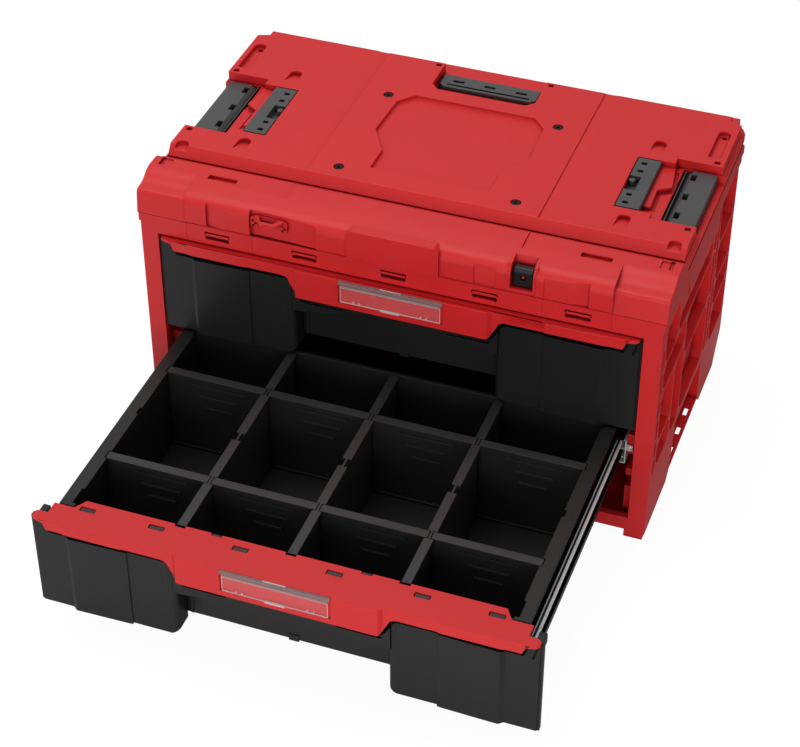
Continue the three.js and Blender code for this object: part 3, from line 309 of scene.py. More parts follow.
def soften(piece, radius, segments=2, angle=28):
    """Rounds every edge sharper than an angle, as a mould does."""
    tidy(piece.data)
    weigh_edges(piece.data, radius, angle)
    piece.data.shade_smooth()
    edge = piece.modifiers.new("moulded edges", "BEVEL")
    edge.width = radius * MM
    edge.segments = segments
    edge.limit_method = "WEIGHT"
    edge.use_clamp_overlap = False
    shade = piece.modifiers.new("even shading", "WEIGHTED_NORMAL")
    shade.keep_sharp = True
    shade.weight = 100


def finish(piece, name, material, body, radius, replaces=()):
    """Names a shape, rounds its edges, gives it its finish and body, and hides the CAD parts it
    replaces.
    """
    piece.name = name
    piece.data.name = name
    piece.data.materials.clear()
    piece.data.materials.append(material)
    if radius:
        soften(piece, radius)
    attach(piece, body)
    if replaces:
        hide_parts(*replaces)
    return piece


# Colours


def linear(code):
    """Turns an sRGB hex value such as #c83232 to linear red, green, blue and alpha."""
    parts = [int(code[i:i + 2], 16) / 255 for i in (1, 3, 5)]
    straight = [p / 12.92 if p <= 0.04045 else ((p + 0.055) / 1.055) ** 2.4 for p in parts]
    return (*straight, 1)


# What a user may change


def tone(name, description, code):
    """A colour in the panel, whose default is written as an sRGB hex value."""
    return bpy.props.FloatVectorProperty(name=name, description=description, subtype="COLOR",
                                         size=4, min=0, max=1, default=linear(code))


class ChestFinish(bpy.types.PropertyGroup):
    """Sizes and colours of the plastics; each colour runs softly from a deep to a lit tone"""

    # The grain of a real eroded mould is under 0.2 mm wide; it is drawn coarser so that it shows.
    grain_mm: bpy.props.FloatProperty(
        name="Grain", description="Width of one grain of the moulded texture, in millimetres",
        default=0.7, min=0.2, max=4)
    fine_radius: bpy.props.FloatProperty(
        name="Fine edges", description="Radius of the walls' and lid's edges, in millimetres",
        default=0.45, min=0.1, max=1)
    red_deep: tone("Red, deep", "Deeper tone of the housing, lid and trims", "#cf1c1f")
    red_lit: tone("Red, lit", "Lighter tone of the housing, lid and trims", "#d62124")
    front_deep: tone("Fronts, deep", "Deeper tone of the drawer fronts", "#1c1c1c")
    front_lit: tone("Fronts, lit", "Lighter tone of the drawer fronts", "#202020")
    tray_deep: tone("Trays, deep", "Deeper tone of the trays", "#1c1b1b")
    tray_lit: tone("Trays, lit", "Lighter tone of the trays", "#21201f")
    divider_deep: tone("Dividers, deep", "Deeper tone of the dividers", "#262627")
    divider_lit: tone("Dividers, lit", "Lighter tone of the dividers", "#2d2d2e")
    grey_deep: tone("Connectors, deep", "Deeper tone of the stacking connectors", "#464646")
    grey_lit: tone("Connectors, lit", "Lighter tone of the stacking connectors", "#505050")
    button_deep: tone("Button, deep", "Deeper tone of the lock button", "#17181a")
    button_lit: tone("Button, lit", "Lighter tone of the lock button", "#1d1e20")


class ChestStage(bpy.types.PropertyGroup):
    """The floor, the lights and the camera"""

    camera_place: bpy.props.FloatVectorProperty(
        name="Camera", description="Where the camera stands", size=3, subtype="TRANSLATION",
        unit="LENGTH", default=(0.6282, -1.7211, 1.6322))
    azimuth: bpy.props.FloatProperty(
        name="Azimuth", description="How far the camera looks from the right, in radians",
        subtype="ANGLE", default=math.radians(19.943))
    elevation: bpy.props.FloatProperty(
        name="Elevation", description="How far the camera looks down, in radians",
        subtype="ANGLE", default=math.radians(39.036))
    lens: bpy.props.FloatProperty(
        name="Lens", description="Focal length on a 36 mm wide sensor",
        subtype="DISTANCE_CAMERA", default=97.37)
    key_power: bpy.props.FloatProperty(
        name="Key light", description="Power of the overhead soft box, in watts",
        subtype="POWER", default=16)
    fill_power: bpy.props.FloatProperty(
        name="Fill light", description="Power of the front soft box, in watts",
        subtype="POWER", default=25)
    sky: bpy.props.FloatProperty(
        name="Sky", description="Strength of the even light from all round", default=0.6)


# Materials


def add(tree, kind, inputs=None, **settings):
    """Adds a node with its settings; each input is a value or the socket that feeds it."""
    made = tree.nodes.new(kind)
    for key, value in settings.items():
        setattr(made, key, value)
    for key, value in (inputs or {}).items():
        if isinstance(value, bpy.types.NodeSocket):
            tree.links.new(value, made.inputs[key])
        else:
            made.inputs[key].default_value = value
    return made


def empty_material(name):
    made = bpy.data.materials.new(name)
    made.use_nodes = True
    made.node_tree.nodes.clear()
    return made, made.node_tree


def per_mm(size):
    """The scale of a noise whose features are about so many millimetres across."""
    return 1 / (size * MM)


# Painted shade: ambient occlusion darkens a moulding's colour and gloss in its creases and narrow
# gaps.
PAINTED_CREASE_SHADE = SimpleNamespace(reach_mm=6, long_reach_mm=12, shut=0.4, open=0.85, darkest=0.3)


def moulded_plastic(name, deep, lit, rough, grain_mm, grain_depth_mm, gloss=0.5,
                    reach_mm=PAINTED_CREASE_SHADE.reach_mm, shade_from_own_shape=False):
    """Injection moulded plastic: an almost even colour with the fine grain of an eroded mould, and
    painted shade in its creases and gaps.
    """
    material, tree = empty_material(name)
    place = add(tree, "ShaderNodeTexCoord").outputs["Object"]
    flow = add(tree, "ShaderNodeTexNoise", {
        "Vector": place, "Scale": per_mm(70), "Detail": 2, "Roughness": 0.5})
    grain = add(tree, "ShaderNodeTexNoise", {
        "Vector": place, "Scale": per_mm(grain_mm), "Detail": 3, "Roughness": 0.6})
    pores = add(tree, "ShaderNodeTexVoronoi", {
        "Vector": place, "Scale": per_mm(grain_mm * 1.6), "Randomness": 1.0})
    base = add(tree, "ShaderNodeMix", {
        "Factor": flow.outputs["Fac"], "A": deep, "B": lit}, data_type="RGBA")
    speck = add(tree, "ShaderNodeMapRange", {
        "Value": grain.outputs["Fac"], "From Min": 0.3, "From Max": 0.7,
        "To Min": 0.96, "To Max": 1.04})
    # Painted shade: occlusion from nearby surfaces darkens the colour and lowers the gloss.
    near = add(tree, "ShaderNodeAmbientOcclusion", {"Distance": reach_mm * MM},
               samples=8, only_local=shade_from_own_shape)
    painted_shade = add(tree, "ShaderNodeMapRange", {
        "Value": near.outputs["AO"], "From Min": PAINTED_CREASE_SHADE.shut, "From Max": PAINTED_CREASE_SHADE.open,
        "To Min": PAINTED_CREASE_SHADE.darkest, "To Max": 1})
    grain_and_painted_shade = add(tree, "ShaderNodeMath", {
        0: speck.outputs["Result"], 1: painted_shade.outputs["Result"]}, operation="MULTIPLY")
    tone = add(tree, "ShaderNodeHueSaturation", {
        "Color": base.outputs["Result"], "Value": grain_and_painted_shade.outputs["Value"]})
    gloss_in_painted_shade = add(tree, "ShaderNodeMath", {
        0: painted_shade.outputs["Result"], 1: gloss}, operation="MULTIPLY")
    sheen = add(tree, "ShaderNodeMath", {
        0: flow.outputs["Fac"], 1: grain.outputs["Fac"]}, operation="ADD")
    roughness = add(tree, "ShaderNodeMapRange", {
        "Value": sheen.outputs["Value"], "From Min": 0.7, "From Max": 1.3,
        "To Min": rough - 0.05, "To Max": rough + 0.05})
    rise = add(tree, "ShaderNodeMath", {
        0: grain.outputs["Fac"], 1: pores.outputs["Distance"]}, operation="ADD")
    bump = add(tree, "ShaderNodeBump", {
        "Height": rise.outputs["Value"], "Strength": 0.6, "Distance": grain_depth_mm * MM})
    shader = add(tree, "ShaderNodeBsdfPrincipled", {
        "Base Color": tone.outputs["Color"], "Roughness": roughness.outputs["Result"],
        "Normal": bump.outputs["Normal"], "IOR": 1.49,
        "Specular IOR Level": gloss_in_painted_shade.outputs["Value"]})
    add(tree, "ShaderNodeOutputMaterial", {"Surface": shader.outputs["BSDF"]})
    return material


def rolled_steel(name, base, stained, rough, metallic, along_mm, across_mm):
    """Cold rolled sheet steel with its plating: fine streaks run along the rolled length."""
    material, tree = empty_material(name)
    place = add(tree, "ShaderNodeTexCoord").outputs["Object"]
    stretched = add(tree, "ShaderNodeMapping", {
        "Vector": place, "Scale": (per_mm(across_mm), per_mm(along_mm), per_mm(across_mm))})
    streaks = add(tree, "ShaderNodeTexNoise", {
        "Vector": stretched.outputs["Vector"], "Scale": 1, "Detail": 4, "Roughness": 0.7})
    bloom = add(tree, "ShaderNodeTexNoise", {"Vector": place, "Scale": per_mm(9), "Detail": 3})
    colour = add(tree, "ShaderNodeMix", {
        "Factor": bloom.outputs["Fac"], "A": linear(stained), "B": linear(base)},
        data_type="RGBA")
    roughness = add(tree, "ShaderNodeMapRange", {
        "Value": streaks.outputs["Fac"], "From Min": 0.3, "From Max": 0.7,
        "To Min": rough - 0.08, "To Max": rough + 0.1})
    bump = add(tree, "ShaderNodeBump", {
        "Height": streaks.outputs["Fac"], "Strength": 0.35, "Distance": 0.02 * MM})
    shader = add(tree, "ShaderNodeBsdfPrincipled", {
        "Base Color": colour.outputs["Result"], "Metallic": metallic,
        "Roughness": roughness.outputs["Result"], "Normal": bump.outputs["Normal"]})
    add(tree, "ShaderNodeOutputMaterial", {"Surface": shader.outputs["BSDF"]})
    return material


def clear_polycarbonate(name, caught, body, tint):
    """Moulded clear polycarbonate; caught is the share of light that its body scatters."""
    material, tree = empty_material(name)
    place = add(tree, "ShaderNodeTexCoord").outputs["Object"]
    marks = add(tree, "ShaderNodeTexNoise", {"Vector": place, "Scale": per_mm(3), "Detail": 5})
    roughness = add(tree, "ShaderNodeMapRange", {
        "Value": marks.outputs["Fac"], "From Min": 0.35, "From Max": 0.7,
        "To Min": 0.06, "To Max": 0.16})
    bump = add(tree, "ShaderNodeBump", {
        "Height": marks.outputs["Fac"], "Strength": 0.1, "Distance": 0.01 * MM})
    skin = add(tree, "ShaderNodeBsdfPrincipled", {
        "Base Color": linear(body), "Roughness": roughness.outputs["Result"],
        "Normal": bump.outputs["Normal"], "IOR": 1.58})
    through = add(tree, "ShaderNodeBsdfTransparent", {"Color": linear(tint)})
    share = add(tree, "ShaderNodeMapRange", {
        "Value": marks.outputs["Fac"], "To Min": caught * 0.9, "To Max": caught * 1.1})
    mixed = add(tree, "ShaderNodeMixShader", {
        0: share.outputs["Result"], 1: through.outputs["BSDF"], 2: skin.outputs["BSDF"]})
    add(tree, "ShaderNodeOutputMaterial", {"Surface": mixed.outputs["Shader"]})
    return material


def red_polypropylene(look):
    # Polypropylene copolymer moulded in a spark-eroded tool: satin, with a fine even grain.
    return moulded_plastic("polypropylene_red_eroded", look.red_deep, look.red_lit,
                           rough=0.46, grain_mm=look.grain_mm, grain_depth_mm=0.05, gloss=0.42)


def trim_polypropylene(look):
    # The trims under the clear covers: the same plastic, with painted shade taken from creases of
    # their own shape only, so the covers don't darken them.
    return moulded_plastic("polypropylene_red_trim", look.red_deep, look.red_lit,
                           rough=0.46, grain_mm=look.grain_mm, grain_depth_mm=0.05, gloss=0.42,
                           shade_from_own_shape=True)


def black_polypropylene(look):
    # The drawer fronts: the same plastic in black, with a duller skin and painted shade that
    # reaches further from creases, as under the trims.
    return moulded_plastic("polypropylene_black_satin", look.front_deep, look.front_lit,
                           rough=0.42, grain_mm=look.grain_mm, grain_depth_mm=0.04, gloss=0.3,
                           reach_mm=PAINTED_CREASE_SHADE.long_reach_mm)


def tray_polypropylene(look):
    # The trays: recycled black polypropylene, a warm black.
    return moulded_plastic("polypropylene_black_tray", look.tray_deep, look.tray_lit,
                           rough=0.42, grain_mm=look.grain_mm, grain_depth_mm=0.03, gloss=0.4)


def divider_polypropylene(look):
    # Dividers come from a polished tool: charcoal, with soft highlights along the ribs.
    return moulded_plastic("polypropylene_charcoal_divider", look.divider_deep,
                           look.divider_lit, rough=0.38, grain_mm=look.grain_mm,
                           grain_depth_mm=0.02)


def grey_nylon(look):
    # Glass-filled nylon: hard mid grey, dull where fibres reach the skin.
    return moulded_plastic("nylon_grey_glass_filled", look.grey_deep, look.grey_lit,
                           rough=0.44, grain_mm=look.grain_mm, grain_depth_mm=0.05)


def dark_acetal(look):
    # Acetal: dense, near black and slippery, with sharp highlights on its bevels.
    return moulded_plastic("acetal_dark_button", look.button_deep, look.button_lit,
                           rough=0.3, grain_mm=look.grain_mm, grain_depth_mm=0.02)


def clear_pane():
    # The covers' panes are polished on both faces, so the trim's red shows through them.
    return clear_polycarbonate("polycarbonate_clear_pane", caught=0.045, body="#f2e8e8",
                               tint="#ffffff")


def clear_edge():
    # Their rims, snaps and pegs are thin and finely textured, and catch the light; the pad on the
    # hinge bar uses it as a painted highlight.
    return clear_polycarbonate("polycarbonate_clear_edge", caught=0.45, body="#f4eeee",
                               tint="#ffffff")


def clear_bar():
    # The thick hinge bars and rods are clear too, greyer than the panes because they are deep.
    return clear_polycarbonate("polycarbonate_clear_bar", caught=0.34, body="#b9a9a9",
                               tint="#e4d8d8")


def zinc_steel():
    # Zinc-plated sheet steel: bright, with rolling streaks along the slide. Real streaks are
    # finer than 0.8 mm; they are drawn coarser so that they show.
    return rolled_steel("steel_zinc_plated", base="#f4f4f4", stained="#e0e1e2", rough=0.3,
                        metallic=0.3, along_mm=60, across_mm=0.8)


def black_steel():
    # Black oxide on steel: dark and oily, lighter in patches.
    return rolled_steel("steel_black_oxide", base="#3a3c3d", stained="#232425", rough=0.4,
                        metallic=0.9, along_mm=1.5, across_mm=0.8)


MATERIALS = {}


def material(name):
    return MATERIALS[name]


def make_materials(look):
    MATERIALS.update(
        red=red_polypropylene(look),
        trim=trim_polypropylene(look),
        black=black_polypropylene(look),
        tray=tray_polypropylene(look),
        divider=divider_polypropylene(look),
        grey=grey_nylon(look),
        dark=dark_acetal(look),
        clear_pane=clear_pane(),
        clear_edge=clear_edge(),
        clear_bar=clear_bar(),
        zinc=zinc_steel(),
        oxide=black_steel(),
    )


# The stage, whose sizes are in metres

STUDIO = SimpleNamespace(
    top_size=1.6, top_place=Vector((-0.3, 0.1, 2.0)), front_size=1.5,
    front_place=Vector((0.76, -2.3, 0.34)), aim=Vector((0, 0, 0.15)),
    side_start=0.1, side_end=0.9, side_share=0.45, sheen_start=-0.1, sheen_end=0.2,
    sheen_share=0.25, floor_half=6, floor_glow=1.05, glow_share=0.9, flag_start=0.26,
    flag_end=0.42, sensor_width=36, view_end=50)


class CHEST_OT_stage(bpy.types.Operator):
    """Makes the pale floor, the soft studio light and the camera"""

    bl_idname = "chest.stage"
    bl_label = "Floor, light and camera"

    def execute(self, context):
        values = context.scene.chest_stage
        view = context.scene.view_settings
        view.view_transform = "Standard"
        self.camera(context, values)
        self.world(context, values)
        self.floor()
        self.lamp("soft_box_top", values.key_power, STUDIO.top_size, STUDIO.top_place)
        self.lamp("soft_box_front", values.fill_power, STUDIO.front_size, STUDIO.front_place)
        return {"FINISHED"}

    def camera(self, context, values):
        lens = bpy.data.cameras.new("camera")
        lens.lens = values.lens
        lens.sensor_width = STUDIO.sensor_width
        lens.sensor_fit = "HORIZONTAL"
        lens.clip_end = STUDIO.view_end
        camera = new_object("camera", lens)
        level = math.cos(values.elevation)
        toward = Vector((-math.sin(values.azimuth) * level, math.cos(values.azimuth) * level,
                         -math.sin(values.elevation)))
        camera.location = values.camera_place
        camera.rotation_euler = toward.to_track_quat("-Z", "Y").to_euler()
        context.scene.camera = camera

    def world(self, context, values):
        """An even white sky that is dimmer toward the right, and most of all in reflections."""
        s = STUDIO
        sky = bpy.data.worlds.new("studio")
        sky.use_nodes = True
        tree = sky.node_tree
        tree.nodes.clear()
        path = add(tree, "ShaderNodeLightPath").outputs
        seen = add(tree, "ShaderNodeMath", {
            0: path["Is Camera Ray"], 1: path["Is Transmission Ray"]}, operation="MAXIMUM")
        toward = add(tree, "ShaderNodeTexCoord").outputs["Generated"]
        parts = add(tree, "ShaderNodeSeparateXYZ", {"Vector": toward}).outputs
        fall = add(tree, "ShaderNodeMapRange", {
            "Value": parts["X"], "From Min": s.side_start, "From Max": s.side_end,
            "To Min": values.sky, "To Max": values.sky * s.side_share})
        beside = add(tree, "ShaderNodeMapRange", {
            "Value": parts["X"], "From Min": s.sheen_start, "From Max": s.sheen_end,
            "To Min": values.sky, "To Max": values.sky * s.sheen_share})
        strength = add(tree, "ShaderNodeMix", {
            "Factor": path["Is Glossy Ray"], "A": fall.outputs["Result"],
            "B": beside.outputs["Result"]})
        even = add(tree, "ShaderNodeBackground", {
            "Color": linear("#f6f6f6"), "Strength": strength.outputs["Result"]})
        white = add(tree, "ShaderNodeBackground", {"Color": linear("#ffffff"), "Strength": 1})
        shown = add(tree, "ShaderNodeMixShader", {
            0: seen.outputs["Value"], 1: even.outputs["Background"],
            2: white.outputs["Background"]})
        add(tree, "ShaderNodeOutputWorld", {"Surface": shown.outputs["Shader"]})
        context.scene.world = sky

    def floor(self):
        """White paper that glows for the camera and reflects darkly beside the right wall."""
        half = STUDIO.floor_half
        mesh = bpy.data.meshes.new("floor")
        mesh.from_pydata([(-half, -half, 0), (half, -half, 0), (half, half, 0), (-half, half, 0)],
                         [], [(0, 1, 2, 3)])
        floor = new_object("floor", mesh)
        paper_material, tree = empty_material("paper_backdrop_white")
        path = add(tree, "ShaderNodeLightPath").outputs
        place = add(tree, "ShaderNodeTexCoord").outputs["Object"]
        # Real paper fibres are finer than 4 mm; the tone that they give is drawn coarser.
        fibre = add(tree, "ShaderNodeTexNoise", {"Vector": place, "Scale": per_mm(4), "Detail": 3})
        tone = add(tree, "ShaderNodeMix", {
            "Factor": fibre.outputs["Fac"], "A": linear("#f4f4f4"), "B": linear("#fbfbfb")},
            data_type="RGBA")
        paper = add(tree, "ShaderNodeBsdfDiffuse", {"Color": tone.outputs["Result"]})
        glow = add(tree, "ShaderNodeEmission", {
            "Color": linear("#ffffff"), "Strength": STUDIO.floor_glow})
        share = add(tree, "ShaderNodeMath", {
            0: path["Is Camera Ray"], 1: STUDIO.glow_share}, operation="MULTIPLY")
        mixed = add(tree, "ShaderNodeMixShader", {
            0: share.outputs["Value"], 1: paper.outputs["BSDF"], 2: glow.outputs["Emission"]})
        dull = add(tree, "ShaderNodeBsdfDiffuse", {"Color": linear("#3c3c3c")})
        across = add(tree, "ShaderNodeSeparateXYZ", {"Vector": place}).outputs["X"]
        right = add(tree, "ShaderNodeMapRange", {
            "Value": across, "From Min": STUDIO.flag_start, "From Max": STUDIO.flag_end})
        flagged = add(tree, "ShaderNodeMath", {
            0: path["Is Glossy Ray"], 1: right.outputs["Result"]}, operation="MULTIPLY")
        seen = add(tree, "ShaderNodeMixShader", {
            0: flagged.outputs["Value"], 1: mixed.outputs["Shader"], 2: dull.outputs["BSDF"]})
        add(tree, "ShaderNodeOutputMaterial", {"Surface": seen.outputs["Shader"]})
        mesh.materials.append(paper_material)

    def lamp(self, name, power, size, place):
        light = bpy.data.lights.new(name, "AREA")
        light.energy = power
        light.size = size
        lamp = new_object(name, light)
        lamp.location = place
        lamp.rotation_euler = (STUDIO.aim - place).to_track_quat("-Z", "Y").to_euler()


# Places that several pieces share

HOUSING = extent("front_frame")
DECK = extent("deck_plate")
BAND = extent("front_band")
LID = extent("lid_frame")
SIDE_BAR = extent("outer_connector_right")
SIDE_PLATE = extent("inner_connector_right")
REAR_BAR = extent("rear_connector")
LEVELS = ("lower", "upper")
SIDES = ((1, "right"), (-1, "left"))


def drawer_places(level):
    """Where the parts of one drawer lie, closed or open as the frame has it."""
    panel = extent(level + "_front_panel")
    trim = extent(level + "_trim")
    tray = extent(level + "_tray")
    return SimpleNamespace(
        panel=panel, trim=trim, tray=tray, face=panel.front + PANEL.proud,
        base=panel.bottom + PANEL.drop, body=level + "_drawer")


def edges_where(bm, test):
    """Edges whose two ends, in millimetres, pass a test."""
    return [e for e in bm.edges if test(e.verts[0].co / MM, e.verts[1].co / MM)]


def round_edges(piece, radius, test, segments=3):
    """Gives chosen edges of a shape a larger radius of their own."""
    tidy(piece.data)
    bm = bmesh.new()
    bm.from_mesh(piece.data)
    bmesh.ops.bevel(bm, geom=edges_where(bm, test), offset=radius * MM, segments=segments,
                    profile=0.5, affect="EDGES", clamp_overlap=True)
    bm.to_mesh(piece.data)
    bm.free()
    return piece


def channel_ramps(shape, top, front, back):
    """Cutters for the two shallow channels of the lid, each ramped down to a small step."""
    outer, inner = shape.channel_outer, shape.channel_inner
    for side in (1, -1):
        yield prism("y", [(-side * outer, top), (-side * inner, top - shape.channel_depth),
                          (-side * inner, top + OVERRUN), (-side * outer, top + OVERRUN)],
                    front, back)


def cross_arms(axis, a, b, reach, half, low, high):
    """Two crossed bars that sink a driver's cross into the head of a screw."""
    return [prism(axis, [(a - p, b - q), (a + p, b - q), (a + p, b + q), (a - p, b + q)],
                  low, high) for p, q in ((reach, half), (half, reach))]


# Drawer fronts

PANEL = SimpleNamespace(
    proud=3, thickness=7, drop=1.7, under_gap=0.5, rail_gap=0.9, rail_rise=0.8, grip=114, wall=4,
    grip_radius=6, grip_slant=2, chamfer_across=8, chamfer_up=5, proud_inset=35.6,
    proud_width=69.4, inner_proud=1.2, inner_rise=0.5, proud_top=15, outer_slope=6, lip_drop=61.5,
    lip_arch=48.5, lip_wall=3, rib_inset=28, rib_height=40, hook_inset=2.6, hook_width=8,
    hook_drop=7.5, hook_height=11.5, hook_depth=11, slit_inset=5.2, slit_length=20, slit_lean=5.7,
    slit_width=2, slit_depth=1.6, edge=2.6, edge_depth=1.2, gap_depth=4, gap_drop=9,
    bulge_gap_drop=14, radius=0.6)
LIP_HALF_SHARES = (1, 0.86, 0.7, 0.59, 0.48)
LIP_ARCH_SHARES = (0, 0.06, 0.25, 0.65, 1)


def panel_wing(place, side):
    """One black half of a drawer front, with its proud field, rounded inner edge and hook."""
    p = PANEL
    face, back = place.face, place.panel.back
    top, outer, base = place.panel.top, place.panel.right, place.base
    inner, r = p.grip, p.grip_radius
    plan = [(outer, face), (inner + r, face), *arc(inner + r, face + r, r, 270, 180, 6),
            (inner, back), (inner + p.wall, back), (inner + p.wall, face + r + p.grip_slant),
            (inner + p.wall + p.grip_slant, face + p.thickness), (outer, face + p.thickness)]
    plate = prism("z", [(side * a, b) for a, b in plan], base, top)
    corner = prism("y", [(side * a, b) for a, b in [
        (inner - 1, base - 1), (inner + p.chamfer_across, base - 1),
        (inner + p.chamfer_across, base), (inner, base + p.chamfer_up),
        (inner - 1, base + p.chamfer_up)]], face - OVERRUN, back + OVERRUN)
    plate = cut(plate, corner)
    proud_outer = outer - p.proud_inset
    proud_inner = proud_outer - p.proud_width
    field = [(proud_inner, face + 1), (proud_inner, face - p.inner_proud),
             (proud_inner + p.outer_slope, face - p.inner_proud - p.inner_rise),
             (proud_outer - p.outer_slope, face - p.proud), (proud_outer, face + 1)]
    proud = prism("z", [(side * a, b) for a, b in field], base - p.drop + p.under_gap,
                  place.trim.top - p.proud_top)
    # Below the wing the field stays in front of the frame's rail when the drawer is shut.
    proud = cut(proud, sided(side, proud_inner - 1, proud_outer + 1, face - p.rail_gap, face + 2,
                             base - p.drop - 1, base - p.rail_rise))
    rib_x = outer - p.rib_inset
    rib = sided(side, rib_x - p.lip_wall, rib_x, face + 1, back, top - p.rib_height, top)
    hook_x = outer - p.hook_inset
    hook_top = place.trim.top - p.hook_drop
    hook = prism("x", [
        (face + 1, hook_top - p.hook_height), (back, hook_top - p.hook_height), (back, hook_top),
        (back - p.hook_depth, hook_top), (face + 1, hook_top - p.hook_height / 2)],
        *sorted((side * (hook_x - p.hook_width), side * hook_x)))
    wing = join(plate, proud, rib, hook)
    step = sided(side, outer - p.edge, outer + 1, face - OVERRUN, face + p.edge_depth,
                 base - 1, top + 1)
    wing = cut(wing, step)
    if side < 0:
        return wing
    slit_x = outer - p.slit_inset
    slit_top = top + 1
    slit = prism("y", [(side * a, b) for a, b in [
        (slit_x - p.slit_lean, slit_top - p.slit_length), (slit_x, slit_top),
        (slit_x + p.slit_width, slit_top),
        (slit_x - p.slit_lean + p.slit_width, slit_top - p.slit_length)]],
        face - OVERRUN, face + p.slit_depth)
    return cut(wing, slit)


def panel_lip(place):
    """The fingers' lip between the two wings; its lower edge is arched."""
    p = PANEL
    half = p.grip + p.wall / 2
    low = place.trim.top - p.lip_drop
    arch = p.lip_drop - p.lip_arch
    edge = [(half * a, low + arch * b) for a, b in zip(LIP_HALF_SHARES, LIP_ARCH_SHARES)]
    top = place.panel.top
    lip = prism("y", mirrored([(half, top), *edge]), place.face, place.face + p.lip_wall)
    shelf_low = low + arch
    shelf = block(-half, half, place.face + 1, place.panel.back, shelf_low, shelf_low + p.lip_wall)
    return join(lip, shelf)


def shadow_gaps(place):
    """Grooves in the black front that show as a dark line under the trim's lower edge."""
    p = PANEL
    front, back = place.face - OVERRUN, place.face + p.gap_depth
    top = place.trim.top
    for half, drop in ((TRIM.end_high, p.gap_drop), (TRIM.bulge_half, p.bulge_gap_drop)):
        whole = block(-half, half, front, back, top - TRIM.bulge_height,
                      place.panel.top + OVERRUN)
        away = [prism("y", [(side * a, b) for a, b in trim_lower_edge(place)],
                      front - 1, back + 1) for side in (1, -1)]
        groove = cut(whole, *away)
        groove.data.transform(Matrix.Translation((0, 0, -drop * MM)))
        yield groove


class CHEST_OT_front_panels(bpy.types.Operator):
    """Makes the black fronts of both drawers with their proud fields and finger lips"""

    bl_idname = "chest.front_panels"
    bl_label = "Drawer fronts"

    def execute(self, context):
        for level in LEVELS:
            place = drawer_places(level)
            front = join(panel_lip(place), *both(lambda side: panel_wing(place, side)))
            cut(front, *shadow_gaps(place))
            finish(front, level + "_front", material("black"), place.body,
                   PANEL.radius, (level + "_front_panel",))
        return {"FINISHED"}


# Red trims

TRIM = SimpleNamespace(
    plate=3.5, skirt=12.6, bulge_height=35.5, bulge=4.4, bulge_half=107, bulge_side=110.5,
    end_depth=1.7, step_depth=13.2, step_outset=4, slant_depth=13, slant_inset=10, rear_inset=18,
    end_radius=5, corner_half=256.5, field_proud=1.2, field_slope=4, window_width=17,
    window_depth=6.5, window_from_rear=9, window_radius=1.2, notch_width=11.4, notch_depth=3.4,
    tab_x=80, tab_width=11, tab_depth=3, tongue_gap=0.9, tongue_rise=0.3, tongue_drop=0.8,
    tongue_radius=0.3, nose=2.6, label_half=58.7, label_low=28.4, label_depth=1.6, low_curve=7,
    high_curve=9, low_centre=104, high_centre=125.5, end_low=251.2, end_high=254.8, radius=0.6)
WINDOW_SHARES = (-0.97, -0.63, -0.223, 0.223, 0.63, 0.97)
LONG_DIVIDER_X = 119.7


def trim_plate_outline(place):
    """The top plate seen from above: its front line, rounded end tabs and notched rear edge."""
    t, trim = TRIM, place.trim
    front = trim.front + t.bulge
    outer = trim.right
    rear_half = place.tray.right - TRAY.rim - t.rear_inset
    slant_half = place.tray.right - TRAY.rim - t.slant_inset
    step_half = place.tray.right + t.step_outset
    tab_front = front + t.end_depth
    tab_back = front + t.step_depth
    r = t.end_radius
    return mirrored([
        (t.corner_half, front),
        *arc(outer - r, tab_front + r, r, -90, 0, 5), *arc(outer - r, tab_back - r, r, 0, 90, 5),
        (step_half, tab_back), (step_half, trim.back - t.slant_depth),
        (slant_half, trim.back - t.slant_depth), (rear_half, trim.back)])


def trim_front_outline(place):
    """The front wall seen from above, with its bulge and the fields that stand a little proud."""
    t = TRIM
    front = place.trim.front + t.bulge
    field_outer = place.panel.right - PANEL.proud_inset
    field_inner = field_outer - PANEL.proud_width
    proud = front - t.field_proud
    outside = [(t.bulge_half, place.trim.front), (t.bulge_side, front),
               (field_inner, front), (field_inner + t.field_slope, proud),
               (field_outer - t.field_slope, proud), (field_outer, front), (t.corner_half, front)]
    back = place.face - SEAM
    return mirrored([*outside, (t.corner_half, back)])


def trim_lower_edge(place):
    """What is cut away below the trim's wavy lower edge on the right side."""
    t, top = TRIM, place.trim.top
    high, low = top - t.skirt, top - t.bulge_height
    far = place.panel.right + OVERRUN
    return [
        (far, low - OVERRUN), (0, low - OVERRUN), (0, low),
        *arc(t.low_centre, low + t.low_curve, t.low_curve, -90, -15, 5),
        *arc(t.high_centre, high - t.high_curve, t.high_curve, 165, 90, 6),
        (t.end_low, high), (t.end_high, top - t.plate), (far, top - t.plate)]


def trim_solid(place):
    """The trim's top plate on its wavy front wall, with the bed of the label cover."""
    t, trim = TRIM, place.trim
    top = trim.top
    plate = prism("z", trim_plate_outline(place), top - t.plate, top)
    low = top - t.bulge_height
    wall = prism("z", trim_front_outline(place), low, top)
    away = [prism("y", [(side * a, b) for a, b in trim_lower_edge(place)],
                  trim.front - OVERRUN, place.face + OVERRUN) for side in (1, -1)]
    whole = join(plate, cut(wall, *away))
    label = block(-t.label_half, t.label_half, trim.front - OVERRUN, trim.front + t.label_depth,
                  top - t.label_low, top + OVERRUN)
    return cut(whole, label)


